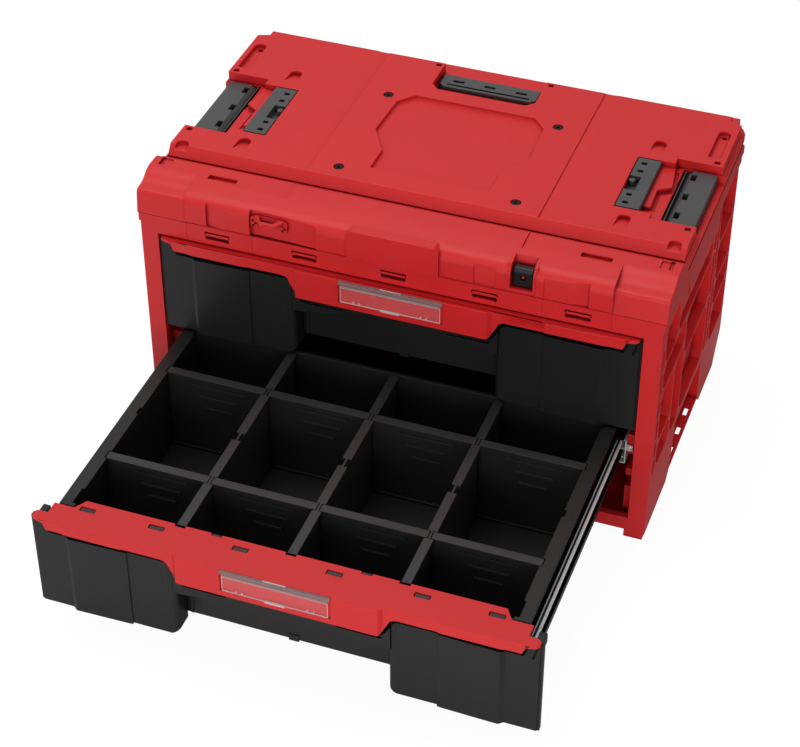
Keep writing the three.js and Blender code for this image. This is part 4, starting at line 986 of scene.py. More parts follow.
def trim_cuts(place):
    """Windows through the top plate, and notches that the dividers' heads enter."""
    t, trim = TRIM, place.trim
    rear_half = place.tray.right - TRAY.rim - t.rear_inset
    back = trim.back - t.window_from_rear
    under, over = trim.top - t.plate - 1, trim.top + 1
    for share in WINDOW_SHARES:
        x = rear_half * share
        yield prism("z", rounded(x - t.window_width / 2, x + t.window_width / 2,
                                 back - t.window_depth, back, t.window_radius), under, over)
    for x in (-LONG_DIVIDER_X, 0, LONG_DIVIDER_X):
        yield block(x - t.notch_width / 2, x + t.notch_width / 2, trim.back - t.notch_depth,
                    trim.back + OVERRUN, under, over)
    for x in (-t.tab_x, t.tab_x):
        yield block(x - t.tab_width / 2, x + t.tab_width / 2, trim.back - t.tab_depth,
                    trim.back + OVERRUN, under, over)


def trim_tabs(place):
    """The tray's black tongues that show in the windows and in the rear notches."""
    t, trim = TRIM, place.trim
    rear_half = place.tray.right - TRAY.rim - t.rear_inset
    back = trim.back - t.window_from_rear
    gap = t.tongue_gap
    low, high = trim.top - t.plate + t.tongue_rise, trim.top - t.tongue_drop
    tongues = []
    for share in WINDOW_SHARES:
        x = rear_half * share
        tongues.append(block(x - t.window_width / 2 + gap, x + t.window_width / 2 - gap,
                             back - t.window_depth + gap, back - gap, low, high))
    for x in (-t.tab_x, t.tab_x):
        tongues.append(block(x - t.tab_width / 2 + gap, x + t.tab_width / 2 - gap,
                             trim.back - t.tab_depth + gap, trim.back, low, high))
    first, *others = tongues
    return join(first, *others)


class CHEST_OT_trims(bpy.types.Operator):
    """Makes the red top trims of both drawers with their windows and tongues"""

    bl_idname = "chest.trims"
    bl_label = "Drawer trims"

    def execute(self, context):
        for level in LEVELS:
            place = drawer_places(level)
            top, front = place.trim.top, place.trim.front

            def nose(a, b):
                """Whether an edge lies along the top of the front wall."""
                ahead = max(a.y, b.y) < front + TRIM.bulge + 0.1
                return ahead and min(a.z, b.z) > top - 0.1 and abs(a.x - b.x) > 1

            trim = round_edges(trim_solid(place), TRIM.nose, nose, 4)
            cut(trim, *trim_cuts(place))
            finish(trim, level + "_red_trim", material("trim"), place.body,
                   TRIM.radius, (level + "_trim",))
            finish(trim_tabs(place), level + "_trim_tongues", material("divider"), place.body,
                   TRIM.tongue_radius)
        return {"FINISHED"}


# Front band

BAND_SHAPE = SimpleNamespace(
    proud=2, middle_inset=57.5, end_wall=6, slot_inset=70, slot_width=33, slot_front=33,
    slot_back=41, slot_depth=4, slot_radius=1.5, pocket_inset=82.5, pocket_width=22.5,
    pocket_low=1.5, pocket_high=3.5, pocket_depth=3, pocket_fade=1.0, plaque_half=51,
    plaque_low=2.5, plaque_high=1.5, plaque_corner=5, plaque_back=8, panel_left=88.5,
    panel_right=112, panel_low=3, panel_high=5, panel_depth=1.1, panel_corner=5, field_left=163.8,
    field_right=189.6, field_low=2, field_high=4, field_fall=9, field_depth=0.8,
    channel_inner=130, channel_outer=146, channel_depth=1.6, channel_front=27, channel_end=9,
    facet_inset=29, facet_depth=0.9, facet_front=2, facet_low=29.6, facet_bend=17,
    facet_bend_high=30.6, facet_back=30, tab_inner=272, tab_outer=285.5, tab_front=41,
    tab_back=54.2, tab_depth=1.6, notch_inner=281, notch_outer=285.5, notch_front=42,
    notch_back=57.5, notch_depth=3.5, radius=0.45)
BAND_END = SimpleNamespace(
    lean=3, face_high=27.6, step=18.75, step_high=29.5, slope_end=31.5, top_end=55.5, fall=67,
    fall_high=30, rear=75, rear_high=26)
BAND_MIDDLE = SimpleNamespace(tuck=2, tuck_high=3, face_high=34, slope_end=33.5, rear=47)
BAND_HOLLOW_SHARES = ((0.12, -0.5), (0.12, 0.55), (0.3, 0.62), (0.47, 0.85), (0.7, 0.85),
                      (0.86, 0.62), (0.93, 0.52), (0.93, -0.5))
EYE = SimpleNamespace(
    recess_left=-161.5, recess_right=-86, recess_side=29, recess_high=6, recess_corner=10,
    recess_over=5, recess_turn=3, recess_deep=5, recess_shallow=2.4, wall=4, backing_drop=8,
    slot_depth=5, slot_height=11, slot_drop=0.5, gap=1.4, back_left=-155.5, back_right=-121.5,
    root=2.5, tip_left=-145, tip_right=-127, tip=14, tip_round=3, hole_left=-150.5, hole_right=-128,
    hole_tip_left=-146.5, hole_tip_right=-131.5, hole_back=2, hole_front=10.5, hole_round=1.5,
    hole_tip_round=2, thickness=4, ear_width=8, ear_height=10, ear_depth=3.6, ear_drop=1,
    ear_round=2.5, left_ear=-160, right_ear=-126.5, tooth=1.5, tooth_depth=3.3, radius=0.55)
TOOTH_PLACES = ((0.3, 0.8), (0.68, 0.5), (0.36, 0.2))
LOCK = SimpleNamespace(
    left=127.8, right=152.2, low=7, back=19.2, wall=4, housing_short=3, housing_drop=3.5, rim=2.6,
    rim_proud=1.1, rim_low=2.6, scoop_lean=4, scoop_high=22, scoop_over=3, button_left=130.3,
    button_right=150.3, button_low=9, button_high=29.6, button_face=1.4, button_depth=9.4,
    bevel=3.4, hole=3.5, hole_depth=2.5, core=1.5, core_depth=1.4, core_edge=0.3, stem=5,
    stem_gap=0.6, stem_sink=5, stem_end=27, radius=0.6)


def band_end_profile():
    """The band from the side at its two ends: a leaning face, a step, the top and a rear fall."""
    e, f, low, top = BAND_END, HOUSING.front, BAND.bottom, BAND.top
    return filleted([
        (f, low), (f + e.lean, low + e.face_high, 4), (f + e.step, low + e.step_high, 5),
        (f + e.slope_end, top, 8), (f + e.top_end, top, 3), (f + e.fall, low + e.fall_high, 3),
        (f + e.rear, low + e.rear_high, 2), (f + e.rear, low)])


def band_middle_profile(grown=0):
    """The prouder middle from the side; its face rolls softly into the slope and the top."""
    m, low, top = BAND_MIDDLE, BAND.bottom, BAND.top
    f = HOUSING.front - BAND_SHAPE.proud - grown
    return filleted([
        (f + m.tuck + grown, low), (f, low + m.tuck_high), (f, low + m.face_high + grown / 2, 13),
        (f + m.slope_end, top, 14), (f + m.rear, top), (f + m.rear, low)])


def band_shell():
    """The band's hollow body with its plaque, the lock's housing and rim, and the eye's backing."""
    b, e, k = BAND_SHAPE, EYE, LOCK
    face, low, top = HOUSING.front, BAND.bottom, BAND.top
    middle = BAND.right - b.middle_inset
    outside = join(prism("x", band_end_profile(), BAND.left, BAND.right),
                   prism("x", band_middle_profile(), -middle, middle))
    depth, height = BAND.back - face, top - low
    hollow = prism("x", [(face + depth * a, low + height * c) for a, c in BAND_HOLLOW_SHARES],
                   BAND.left + b.end_wall, BAND.right - b.end_wall)
    backing = block(e.recess_left - e.wall, e.recess_right + e.wall, face + 1,
                    face + e.recess_deep + e.wall, low + 1, top - e.backing_drop)
    housing = block(k.left - k.wall, k.right + k.wall, face + 1,
                    face + k.stem_end - k.housing_short, low + 1, top - k.housing_drop)
    plaque_top = top - b.plaque_high
    plaque = prism("y", mirrored([
        (b.plaque_half, low + b.plaque_low), (b.plaque_half, plaque_top - b.plaque_corner),
        (b.plaque_half - b.plaque_corner, plaque_top)]), BAND.front, face + b.plaque_back)
    rim = prism("x", band_middle_profile(k.rim_proud), k.left - k.rim, k.right + k.rim)
    rim_room = block(k.left - k.rim - 1, k.right + k.rim + 1, face - OVERRUN, face + k.back - 1,
                     low + k.low - k.rim_low, top)
    return join(cut(outside, hollow), housing, backing, plaque, meet(rim, rim_room))


def band_end_cuts(side):
    """The facet, the tab's bed and the small notch near one end, with the slot and the pocket."""
    b = BAND_SHAPE
    front, low, top = HOUSING.front, BAND.bottom, BAND.top
    face = front - b.proud
    right = BAND.right - b.slot_inset
    yield prism("z", rounded(side * (right - b.slot_width), side * right, front + b.slot_front,
                             front + b.slot_back, b.slot_radius),
                top - b.slot_depth, top + OVERRUN)
    outer = BAND.right - b.pocket_inset
    inner = outer - b.pocket_width
    yield prism("z", [(side * p, q) for p, q in [
        (inner, face - OVERRUN), (inner, face + b.pocket_fade),
        (outer, face + b.pocket_depth), (outer, face - OVERRUN)]],
        low + b.pocket_low, top - b.pocket_high)
    yield prism("x", [(front + b.facet_front, top + 1), (front + b.facet_front, low + b.facet_low),
                      (front + b.facet_bend, low + b.facet_bend_high - b.facet_depth),
                      (front + b.facet_back, top - b.facet_depth),
                      (front + b.facet_back + 1, top + 1)],
                *sorted((side * (BAND.right - b.facet_inset), side * (BAND.right + OVERRUN))))
    yield block(side * b.tab_inner, side * b.tab_outer, front + b.tab_front, front + b.tab_back,
                top - b.tab_depth, top + OVERRUN)
    yield block(side * b.notch_inner, side * b.notch_outer, front + b.notch_front,
                front + b.notch_back, top - b.notch_depth, top + OVERRUN)


def band_cuts():
    """Every pocket, slot, line and step in the front band."""
    b = BAND_SHAPE
    front, low, top = HOUSING.front, BAND.bottom, BAND.top
    face = front - b.proud
    for side in (1, -1):
        yield from band_end_cuts(side)
    curve_high = top - b.panel_high - b.panel_corner
    yield prism("y", [(b.panel_left, low + b.panel_low), (b.panel_right, low + b.panel_low),
                      *arc(b.panel_right - b.panel_corner, curve_high, b.panel_corner, 0, 90, 4),
                      *arc(b.panel_left + b.panel_corner, curve_high, b.panel_corner, 90, 180, 4)],
                face - OVERRUN, face + b.panel_depth)
    yield prism("y", [(b.field_left, low + b.field_low), (b.field_right, low + b.field_low),
                      (b.field_right, top - b.field_high), (b.field_left, top - b.field_fall)],
                face - OVERRUN, face + b.field_depth)
    yield eye_recess()
    yield from eye_slots()
    yield from channel_ramps(b, top, front + b.channel_front, BAND.back - b.channel_end)


def eye_recess():
    """The padlock recess, deep at the left and running out toward its cut-off right corner."""
    e, face = EYE, HOUSING.front - BAND_SHAPE.proud
    low, high = BAND.bottom - 1, BAND.top + e.recess_over
    side_top, top = BAND.bottom + e.recess_side, BAND.bottom + e.recess_side + e.recess_high
    corner = e.recess_right - e.recess_corner
    outline = prism("y", [(e.recess_left, low), (e.recess_right, low), (e.recess_right, side_top),
                          (corner, top), (corner, high), (e.recess_left, high)],
                    face - OVERRUN, face + e.recess_deep)
    room = prism("z", [(e.recess_left - 1, face - OVERRUN), (e.recess_right + 1, face - OVERRUN),
                       (e.recess_right + 1, face + e.recess_shallow),
                       (e.back_right + e.recess_turn, face + e.recess_deep - 1),
                       (e.back_left, face + e.recess_deep),
                       (e.recess_left - 1, face + e.recess_deep)],
                 low, high)
    return meet(outline, room)


def eye_slots():
    """The slot behind the eye for the shackle, and the open gap under the recess."""
    e, deep = EYE, HOUSING.front - BAND_SHAPE.proud + EYE.recess_deep
    top = extent("padlock_eye").top
    yield block(e.hole_left, e.hole_right, deep - 1, deep + e.slot_depth,
                top - e.slot_height, top - e.slot_drop)
    yield block(e.recess_left, e.recess_right, deep - OVERRUN, deep + e.wall - 1,
                BAND.bottom - 1, BAND.bottom + e.gap)


def lock_cuts():
    """The finger scoop of the lock, open upward through the slope, and the stem's hole."""
    k, back = LOCK, HOUSING.front + LOCK.back
    low, front = BAND.bottom + k.low, HOUSING.front - OVERRUN
    yield prism("x", [(front, low), (back - k.scoop_lean, low),
                      (back - k.scoop_lean, low + k.scoop_high), (back, BAND.top + 1),
                      (back - k.scoop_over, BAND.top + OVERRUN), (front, BAND.top + OVERRUN)],
                k.left, k.right)
    yield turned([(k.stem + k.stem_gap, -1), (k.stem + k.stem_gap, OVERRUN)], "y",
                 Vector(((k.button_left + k.button_right) / 2, back - k.stem_sink,
                         BAND.bottom + (k.button_low + k.button_high) / 2)))


def lock_button_solid():
    """A blunt block with a bevelled upper edge, a dial hole and a round stem."""
    k = LOCK
    face = HOUSING.front + k.button_face
    low, high = BAND.bottom + k.button_low, BAND.bottom + k.button_high
    back = face + k.button_depth
    head = prism("x", [(face, low), (face, high - k.bevel), (face + k.bevel, high), (back, high),
                       (back, low)], k.button_left, k.button_right)
    middle = Vector(((k.button_left + k.button_right) / 2, 0, (low + high) / 2))
    stem = turned([(k.stem, back - 2), (k.stem, HOUSING.front + k.stem_end)], "y", middle)
    hole = turned([(k.hole, face - OVERRUN), (k.hole, face + k.hole_depth)], "y", middle)
    core = turned([(k.core, face + k.core_depth), (k.core, face + k.hole_depth + 1)], "y", middle)
    return cut(join(head, stem), hole), core


def padlock_eye_solid():
    """A trapezoid ring for the shackle on two ears, each with three small round teeth marks."""
    e = EYE
    back = HOUSING.front - BAND_SHAPE.proud + e.recess_deep - SEAM
    top = extent("padlock_eye").top
    tip, root = back - e.tip, back - e.root
    ring = prism("z", filleted([
        (e.back_left, back), (e.back_left, root), (e.tip_left, tip, e.tip_round),
        (e.tip_right, tip, e.tip_round), (e.back_right, root), (e.back_right, back)]),
        top - e.thickness, top)
    hole_back, hole_front = back - e.hole_back, back - e.hole_front
    hole = prism("z", filleted([
        (e.hole_left, hole_back, e.hole_round), (e.hole_tip_left, hole_front, e.hole_tip_round),
        (e.hole_tip_right, hole_front, e.hole_tip_round),
        (e.hole_right, hole_back, e.hole_round)]),
        top - e.thickness - OVERRUN, top + OVERRUN)
    ears, teeth = [], []
    for left in (e.left_ear, e.right_ear):
        low = top - e.thickness - e.ear_height
        ears.append(prism("y", rounded(left, left + e.ear_width, low, top - e.ear_drop,
                                       e.ear_round), back - e.ear_depth, back))
        for across, up in TOOTH_PLACES:
            teeth.append(turned([(e.tooth, -OVERRUN), (e.tooth, e.tooth_depth)], "y", Vector((
                left + e.ear_width * across, back - e.ear_depth, low + e.ear_height * up))))
    return cut(join(cut(ring, hole), *ears), *teeth)


class CHEST_OT_front_band(bpy.types.Operator):
    """Makes the lid's front band with its plaque, pockets, lock, padlock recess and eye"""

    bl_idname = "chest.front_band"
    bl_label = "Front band"

    def execute(self, context):
        band = cut(band_shell(), *band_cuts(), *lock_cuts())
        finish(band, "band_front", material("red"), "case", BAND_SHAPE.radius,
               ("front_band",))
        finish(padlock_eye_solid(), "eye", material("red"), "case", EYE.radius,
               ("padlock_eye",))
        button, core = lock_button_solid()
        finish(button, "button", material("dark"), body_named("lock_button"),
               LOCK.radius, ("lock_button",))
        finish(core, "button_core", material("red"), body_named("lock_button"),
               LOCK.core_edge)
        return {"FINISHED"}


# Deck

DECK_SHAPE = SimpleNamespace(
    slope=9, corner_half=277, corner_run=14, corner_step=9, outer_inset=50.5, outer_margin=4,
    inner_margin=0.8, end_margin=1.5, rear_side=3.6, rear_front=11, rear_corner=10,
    ramp_inset=68.5, ramp_width=14, ramp_depth=6, ramp_length=26, ramp_from_bar=6,
    front_pocket=18, pocket_inset=6.5, pocket_width=14, pocket_floor=5, rear_pocket=56,
    rear_margin=32, hole_from_back=7, hole=3, square=6, square_depth=4, square_inset=8,
    square_from_bar=10, rear_square_x=67.5, rear_square_inset=5.5, channel_inner=130,
    channel_outer=146, channel_depth=1.5, recess_depth=4, recess_half=90, recess_back=86,
    recess_front=71, recess_slope=1.6, middle_share=0.4, round_share=0.98, cutter_depth=12,
    ramp_start=0.3, shank=2.7, head=5.8, head_depth=3.7, head_low=0.5, head_high=1, radius=0.9)
RECESS_HALF_SHARES = (0.76, 0.76, 1, 0.97, 0.79)
RECESS_ALONG_SHARES = (0, 0.235, 0.478, 0.877, 1)
SHELF = SimpleNamespace(height=4.6, lap=0.5, end_gap=2, front=141.3, back_x=240.6,
                        groove_back_x=245, groove_depth=1.6)
SHELF_EDGE = ((241.4, 217), (246.2, 185), (232.6, 176), (233.8, SHELF.front))
GROOVE_EDGE = ((238, SHELF.front), (236.8, 172.6), (250.8, 182.6), (245.8, 217.5))


def deck_outline():
    """The deck plate seen from above, with a small step at its rear corners."""
    d = DECK_SHAPE
    return mirrored([(DECK.right, DECK.front), (DECK.right, DECK.back - d.corner_run),
                     (d.corner_half, DECK.back - d.corner_step), (d.corner_half, DECK.back)])


def u_pocket(side, inner, outer, y0, y1, floor0, floor1):
    """A pocket with a round rear end whose floor runs from one depth at y0 to another at y1."""
    d = DECK_SHAPE
    radius = (outer - inner) / 2 * d.round_share
    middle = (inner + outer) / 2
    outline = [(side * inner, y0), (side * outer, y0),
               *[(side * a, b) for a, b in arc(middle, y1 - radius, radius, 0, 180, 10)]]
    low = DECK.top - d.cutter_depth
    hole = prism("z", outline, low, DECK.top + OVERRUN)
    keep = prism("x", [(y0 - OVERRUN, floor0), (y0, floor0), (y1, floor1), (y1 + 1, floor1),
                       (y1 + 1, low - 1), (y0 - OVERRUN, low - 1)],
                 *sorted((side * (inner - 1), side * (outer + 1))))
    return cut(hole, keep)


def deck_cuts():
    """The sloped front edge, the connectors' notches, and the pockets and holes beside them."""
    d = DECK_SHAPE
    top, low, high = DECK.top, DECK.bottom - OVERRUN, DECK.top + OVERRUN
    yield prism("x", [(DECK.front - OVERRUN, low), (DECK.front, DECK.bottom),
                      (DECK.front + d.slope, top), (DECK.front + d.slope, high),
                      (DECK.front - OVERRUN, high)], DECK.left - OVERRUN, DECK.right + OVERRUN)
    for side in (1, -1):
        yield sided(side, DECK.right - d.outer_inset, DECK.right + OVERRUN,
                    SIDE_BAR.front - d.outer_margin, SIDE_BAR.back + d.outer_margin, low, high)
        yield sided(side, SIDE_PLATE.left - d.inner_margin, DECK.right - d.outer_inset + 1,
                    SIDE_PLATE.front - d.end_margin, SIDE_PLATE.back + d.end_margin, low, high)
        outer = DECK.right - d.ramp_inset
        rear = SIDE_BAR.back + d.ramp_from_bar
        front = SIDE_BAR.front - d.ramp_from_bar
        for y0 in (rear, front - d.ramp_length):
            yield u_pocket(side, outer - d.ramp_width, outer, y0, y0 + d.ramp_length,
                           top + d.ramp_start, top - d.ramp_depth)
        outer = DECK.right - d.pocket_inset
        inner = outer - d.pocket_width
        yield u_pocket(side, inner, outer, DECK.front - OVERRUN, DECK.front + d.front_pocket,
                       top - d.pocket_floor, top - d.pocket_floor)
        back = DECK.back - d.rear_margin
        yield u_pocket(side, inner, outer, back - d.rear_pocket, back,
                       top - d.pocket_floor, top - d.pocket_floor)
        yield turned([(d.hole, 0), (d.hole, 3 * OVERRUN)], "z",
                     Vector((side * (inner + outer) / 2, back - d.hole_from_back, low)))
        for x, y in ((DECK.right - d.square_inset, SIDE_BAR.front - d.square_from_bar),
                     (DECK.right - d.square_inset, SIDE_BAR.back + d.square_from_bar),
                     (d.rear_square_x, DECK.back - d.rear_square_inset)):
            half = d.square / 2
            yield block(side * x - half, side * x + half, y - half, y + half,
                        top - d.square_depth, high)


def deck_rear_cut():
    """The notch in the deck's rear edge that holds the rear connector."""
    d = DECK_SHAPE
    half = REAR_BAR.right + d.rear_side
    front = REAR_BAR.front - d.rear_front
    return prism("z", mirrored([(half - d.rear_corner, front - d.rear_corner), (half, front),
                                (half, DECK.back + OVERRUN)]),
                 DECK.bottom - OVERRUN, DECK.top + OVERRUN)


def deck_recess():
    """The sunk field in the middle of the deck; its walls lean outward a little."""
    d = DECK_SHAPE
    middle = DECK.front + (DECK.back - DECK.front) * d.middle_share
    start, length = middle - d.recess_front, d.recess_front + d.recess_back
    half = [(d.recess_half * a, start + length * b)
            for a, b in zip(RECESS_HALF_SHARES, RECESS_ALONG_SHARES)]
    hole = prism("z", mirrored(half), DECK.top - d.recess_depth, DECK.top + OVERRUN)
    bm = bmesh.new()
    bm.from_mesh(hole.data)
    centre = Vector((0, (start + length / 2) * MM, 0))
    for vert in bm.verts:
        if vert.co.z < DECK.top * MM:
            away = vert.co - centre
            away.z = 0
            vert.co -= away.normalized() * (d.recess_slope * MM)
    bm.to_mesh(hole.data)
    bm.free()
    return hole


def deck_screw_holes():
    """Stepped holes with room for the heads of the four deck screws."""
    d = DECK_SHAPE
    seat = DECK.top - d.head_depth
    for i in range(1, 5):
        screw = extent(f"deck_screw_{i}")
        centre = Vector(((screw.left + screw.right) / 2, (screw.front + screw.back) / 2, 0))
        yield turned([(d.shank, DECK.bottom - OVERRUN), (d.shank, seat + d.head_low),
                      (d.head, seat + d.head_high), (d.head, DECK.top + OVERRUN)], "z", centre)


def shelf_edge():
    """The outer edge of a shelf seen from above, from its rear end to its front end."""
    return [(SHELF.back_x, SIDE_PLATE.back + SHELF.end_gap), *SHELF_EDGE]


def notch_shelf(side):
    """The raised shelf beside an inner connector, in the floor of the deck's notch."""
    inner = SIDE_PLATE.right - SHELF.lap
    outline = [(inner, SIDE_PLATE.back + SHELF.end_gap), *shelf_edge(), (inner, SHELF.front)]
    return prism("z", [(side * a, b) for a, b in outline], DECK.bottom,
                 DECK.bottom + SHELF.height)


def shelf_groove(side):
    """The shallow groove in the lid along the shelf's outer edge."""
    outline = [*shelf_edge(), *GROOVE_EDGE,
               (SHELF.groove_back_x, SIDE_PLATE.back + SHELF.end_gap)]
    return prism("z", [(side * a, b) for a, b in outline], LID.top - SHELF.groove_depth,
                 LID.top + 1)


class CHEST_OT_deck(bpy.types.Operator):
    """Makes the deck plate with its notches and pockets, and the lid's frame round it"""

    bl_idname = "chest.deck"
    bl_label = "Deck"

    def execute(self, context):
        deck = prism("z", deck_outline(), DECK.bottom, DECK.top)
        channels = channel_ramps(DECK_SHAPE, DECK.top, DECK.front + DECK_SHAPE.slope,
                                 DECK.back + OVERRUN)
        cut(deck, *deck_cuts(), deck_rear_cut(), deck_recess(), *channels, *deck_screw_holes())
        join(deck, *both(notch_shelf))
        finish(deck, "deck", material("red"), "case", DECK_SHAPE.radius,
               ("deck_plate",))
        finish(cut(copy_of("lid_frame"), *both(shelf_groove)), "lid_frame_skin", material("red"),
               "case", context.scene.chest_finish.fine_radius, ("lid_frame",))
        return {"FINISHED"}


# Label covers

COVER = SimpleNamespace(
    thick=1.4, rod=1.5, rod_inset=0.1, flap_rise=1, rim=0.6, rim_proud=0.2, snap_half=10.5,
    snap_height=2.2, snap_proud=0.9, peg_radius=0.8, peg_low=3.6, peg_proud=0.5, bar_gap=0.4,
    bar_top=0.4, bar_half=58.2, bar_setback=0.3, groove=1.2, groove_inset=2, groove_depth=0.8,
    pad_half=12, pad_depth=1.6, pad_setback=0.3, pad_sink=0.6, pad_proud=0.3, pane_edge=0.1,
    rod_edge=0.2, radius=0.25)
PEG_PLACES = (-41, -34.5, 34.5, 41)


def cover_solids(level):
    """A clear flap in three parts: its pane, its rim with a snap and pegs, and its hinge rod."""
    c = COVER
    place = extent(level + "_label_cover")
    rod_y, rod_z = place.front + c.rod + c.rod_inset, place.top - c.rod - c.rod_inset
    face = rod_y - c.thick / 2
    back = face + c.thick
    low = place.bottom + c.flap_rise
    flap = block(place.left, place.right, face, back, low, rod_z)
    window = (place.left + c.rim, place.right - c.rim), (low + c.rim, rod_z - c.rod - c.rim)
    hole = block(*window[0], face - OVERRUN, back + OVERRUN, *window[1])
    pane = block(*window[0], face + c.rim_proud, back - c.rim_proud, *window[1])
    rod = prism("x", circle(rod_y, rod_z, c.rod, 16), place.left, place.right)
    snap = block(-c.snap_half, c.snap_half, face - c.snap_proud, back, place.bottom,
                 place.bottom + c.snap_height)
    pegs = [turned([(c.peg_radius, face - c.peg_proud), (c.peg_radius, back)], "y",
                   Vector((x, 0, place.bottom + c.peg_low))) for x in PEG_PLACES]
    return pane, join(cut(flap, hole), snap, *pegs), rod


def hinge_bar(level):
    """The clear bar that holds the hinge rod; it is fixed in the trim's notch."""
    c = COVER
    place, trim = extent(level + "_label_cover"), extent(level + "_trim")
    low, high = place.top + c.bar_gap, trim.top - c.bar_top
    front, back = place.front + c.bar_setback, trim.front + TRIM.label_depth - SEAM
    bar = block(-c.bar_half, c.bar_half, front, back, low, high)
    line_half, middle = c.bar_half - c.groove_inset, (front + back) / 2
    line = block(-line_half, line_half, middle - c.groove / 2, middle + c.groove / 2,
                 high - c.groove_depth, high + 1)
    return cut(bar, line)


def hinge_highlight_pad(level):
    """A small raised pad in the middle of the hinge bar, in the bright edge material: a painted
    highlight of a lamp on the bar.
    """
    c = COVER
    trim = extent(level + "_trim")
    back = trim.front + TRIM.label_depth - SEAM
    high = trim.top - c.bar_top
    return block(-c.pad_half, c.pad_half, back - c.pad_depth, back - c.pad_setback,
                 high - c.pad_sink, high + c.pad_proud)


class CHEST_OT_label_covers(bpy.types.Operator):
    """Makes the clear label covers of both drawers with their hinge bars and rods"""

    bl_idname = "chest.label_covers"
    bl_label = "Label covers"

    def execute(self, context):
        for level in LEVELS:
            node = level + "_label_cover"
            pane, rim, rod = cover_solids(level)
            finish(pane, level + "_cover_pane", material("clear_pane"), body_named(node),
                   COVER.pane_edge, (node,))
            finish(rim, level + "_cover_rim", material("clear_edge"), body_named(node),
                   COVER.radius)
            finish(rod, level + "_cover_rod", material("clear_bar"), body_named(node),
                   COVER.rod_edge)
            # Painted highlight: the bright pad on the hinge bar.
            finish(hinge_highlight_pad(level), level + "_hinge_highlight_pad", material("clear_edge"),
                   level + "_drawer", COVER.pane_edge)
            finish(hinge_bar(level), level + "_hinge_bar", material("clear_bar"),
                   level + "_drawer", COVER.radius)
        return {"FINISHED"}


# Dividers

DIVIDER = SimpleNamespace(
    web=2.4, flange=10, flange_thickness=2.4, end_gap=0.6, crossing=5.9, neck=6.2,
    crossing_under=0.6, rib_height=3.0, rib_proud=2.0, rib_offset=2.5, strip=2.2, strip_proud=0.9,
    foot=2, foot_proud=2.6, foot_inset=1, radius=0.22)
RIB_LENGTHS = (63, 45, 32)
RIB_DROPS = (12.5, 27.5, 42.5)
CROSSINGS = ("lower_cross_divider_1_1", "lower_cross_divider_2_1")


def cross_divider_solid(node):
    """A cross divider: web, top flange, end strips, a foot and three ribs on its front."""
    d, place = DIVIDER, extent(node)
    middle = (place.front + place.back) / 2
    half = d.web / 2
    left, right = place.left + d.end_gap, place.right - d.end_gap
    under = place.top - d.flange_thickness
    web = block(place.left, place.right, middle - half, middle + half, place.bottom, under + 1)
    flange = block(left, right, middle - d.flange / 2, middle + d.flange / 2, under, place.top)
    foot = block(place.left + d.foot_inset, place.right - d.foot_inset,
                 middle - half - d.foot_proud, middle + half + d.foot_proud,
                 place.bottom, place.bottom + d.foot)
    strips = [block(x, x + d.strip, middle - half - d.strip_proud, middle,
                    place.bottom, under + 1) for x in (place.left, place.right - d.strip)]
    centre = (place.left + place.right) / 2 + d.rib_offset
    ribs = [block(centre - length / 2, centre + length / 2, middle - half - d.rib_proud, middle,
                  place.top - drop - d.rib_height / 2, place.top - drop + d.rib_height / 2)
            for length, drop in zip(RIB_LENGTHS, RIB_DROPS)]
    return join(web, flange, foot, *strips, *ribs)


def long_divider_cuts(node):
    """Room for the flanges of the cross dividers, and a neck where the two halves snap together."""
    d, place = DIVIDER, extent(node)
    middle = (place.left + place.right) / 2
    spots = [((extent(other).front + extent(other).back) / 2, d.crossing) for other in CROSSINGS]
    spots.append(((place.front + place.back) / 2, d.neck))
    for y, half in spots:
        for side in (1, -1):
            yield block(middle + side * d.web / 2, middle + side * d.flange, y - half, y + half,
                        place.top - d.flange_thickness - d.crossing_under, place.top + 1)


class CHEST_OT_dividers(bpy.types.Operator):
    """Makes the long and cross dividers of both drawers"""

    bl_idname = "chest.dividers"
    bl_label = "Dividers"

    def execute(self, context):
        for node in sorted(frame["nodes"]):
            if "_cross_divider_" in node:
                piece = cross_divider_solid(node)
            elif node.startswith("lower_long_divider"):
                piece = cut(copy_of(node), *long_divider_cuts(node))
            elif "_long_divider" in node:
                piece = copy_of(node)
            else:
                continue
            finish(piece, node + "_dressed", material("divider"), body_named(node),
                   DIVIDER.radius, (node,))
        return {"FINISHED"}


# Trays

TRAY = SimpleNamespace(
    rim=8, wall=4.5, lip=2.6, lip_height=3, lip_start=28, lip_end=14, seat=6, rib_inner=107,
    rib_outer=110, rib_proud=1.6, rib_low=1, rib_top=58, boss_left=-2, boss_right=9,
    boss_proud=1.4, boss_drop=1.4, boss_rise=6, radius=0.45)
LIP_NOTCH = (154, 165)


def lip_gaps(place):
    """Where the thin lip inside the rim is left open: at the cross dividers and at a notch."""
    seats = [(extent(node).front + extent(node).back) / 2 - extent("lower_tray").front
             for node in CROSSINGS]
    gaps = [LIP_NOTCH, *((seat - TRAY.seat, seat + TRAY.seat) for seat in seats)]
    return sorted((place.front + a, place.front + b) for a, b in gaps)


def tray_details(place):
    """A thin lip inside each side rim, and ribs and a boss on the front wall."""
    t = TRAY
    inner = place.right - t.rim - t.wall
    stops = [place.front + t.lip_start, *(y for gap in lip_gaps(place) for y in gap),
             place.back - t.lip_end]
    for side in (1, -1):
        yield sided(side, t.rib_inner, t.rib_outer, place.front - t.rib_proud, place.front + 1,
                    place.bottom + t.rib_low, place.bottom + t.rib_top)
        for start, end in zip(stops[::2], stops[1::2]):
            yield sided(side, inner - t.lip, inner + 1, start, end,
                        place.top - t.lip_height, place.top)
    yield block(t.boss_left, t.boss_right, place.front - t.boss_proud, place.front + 1,
                place.bottom - t.boss_drop, place.bottom + t.rib_low + t.boss_rise)


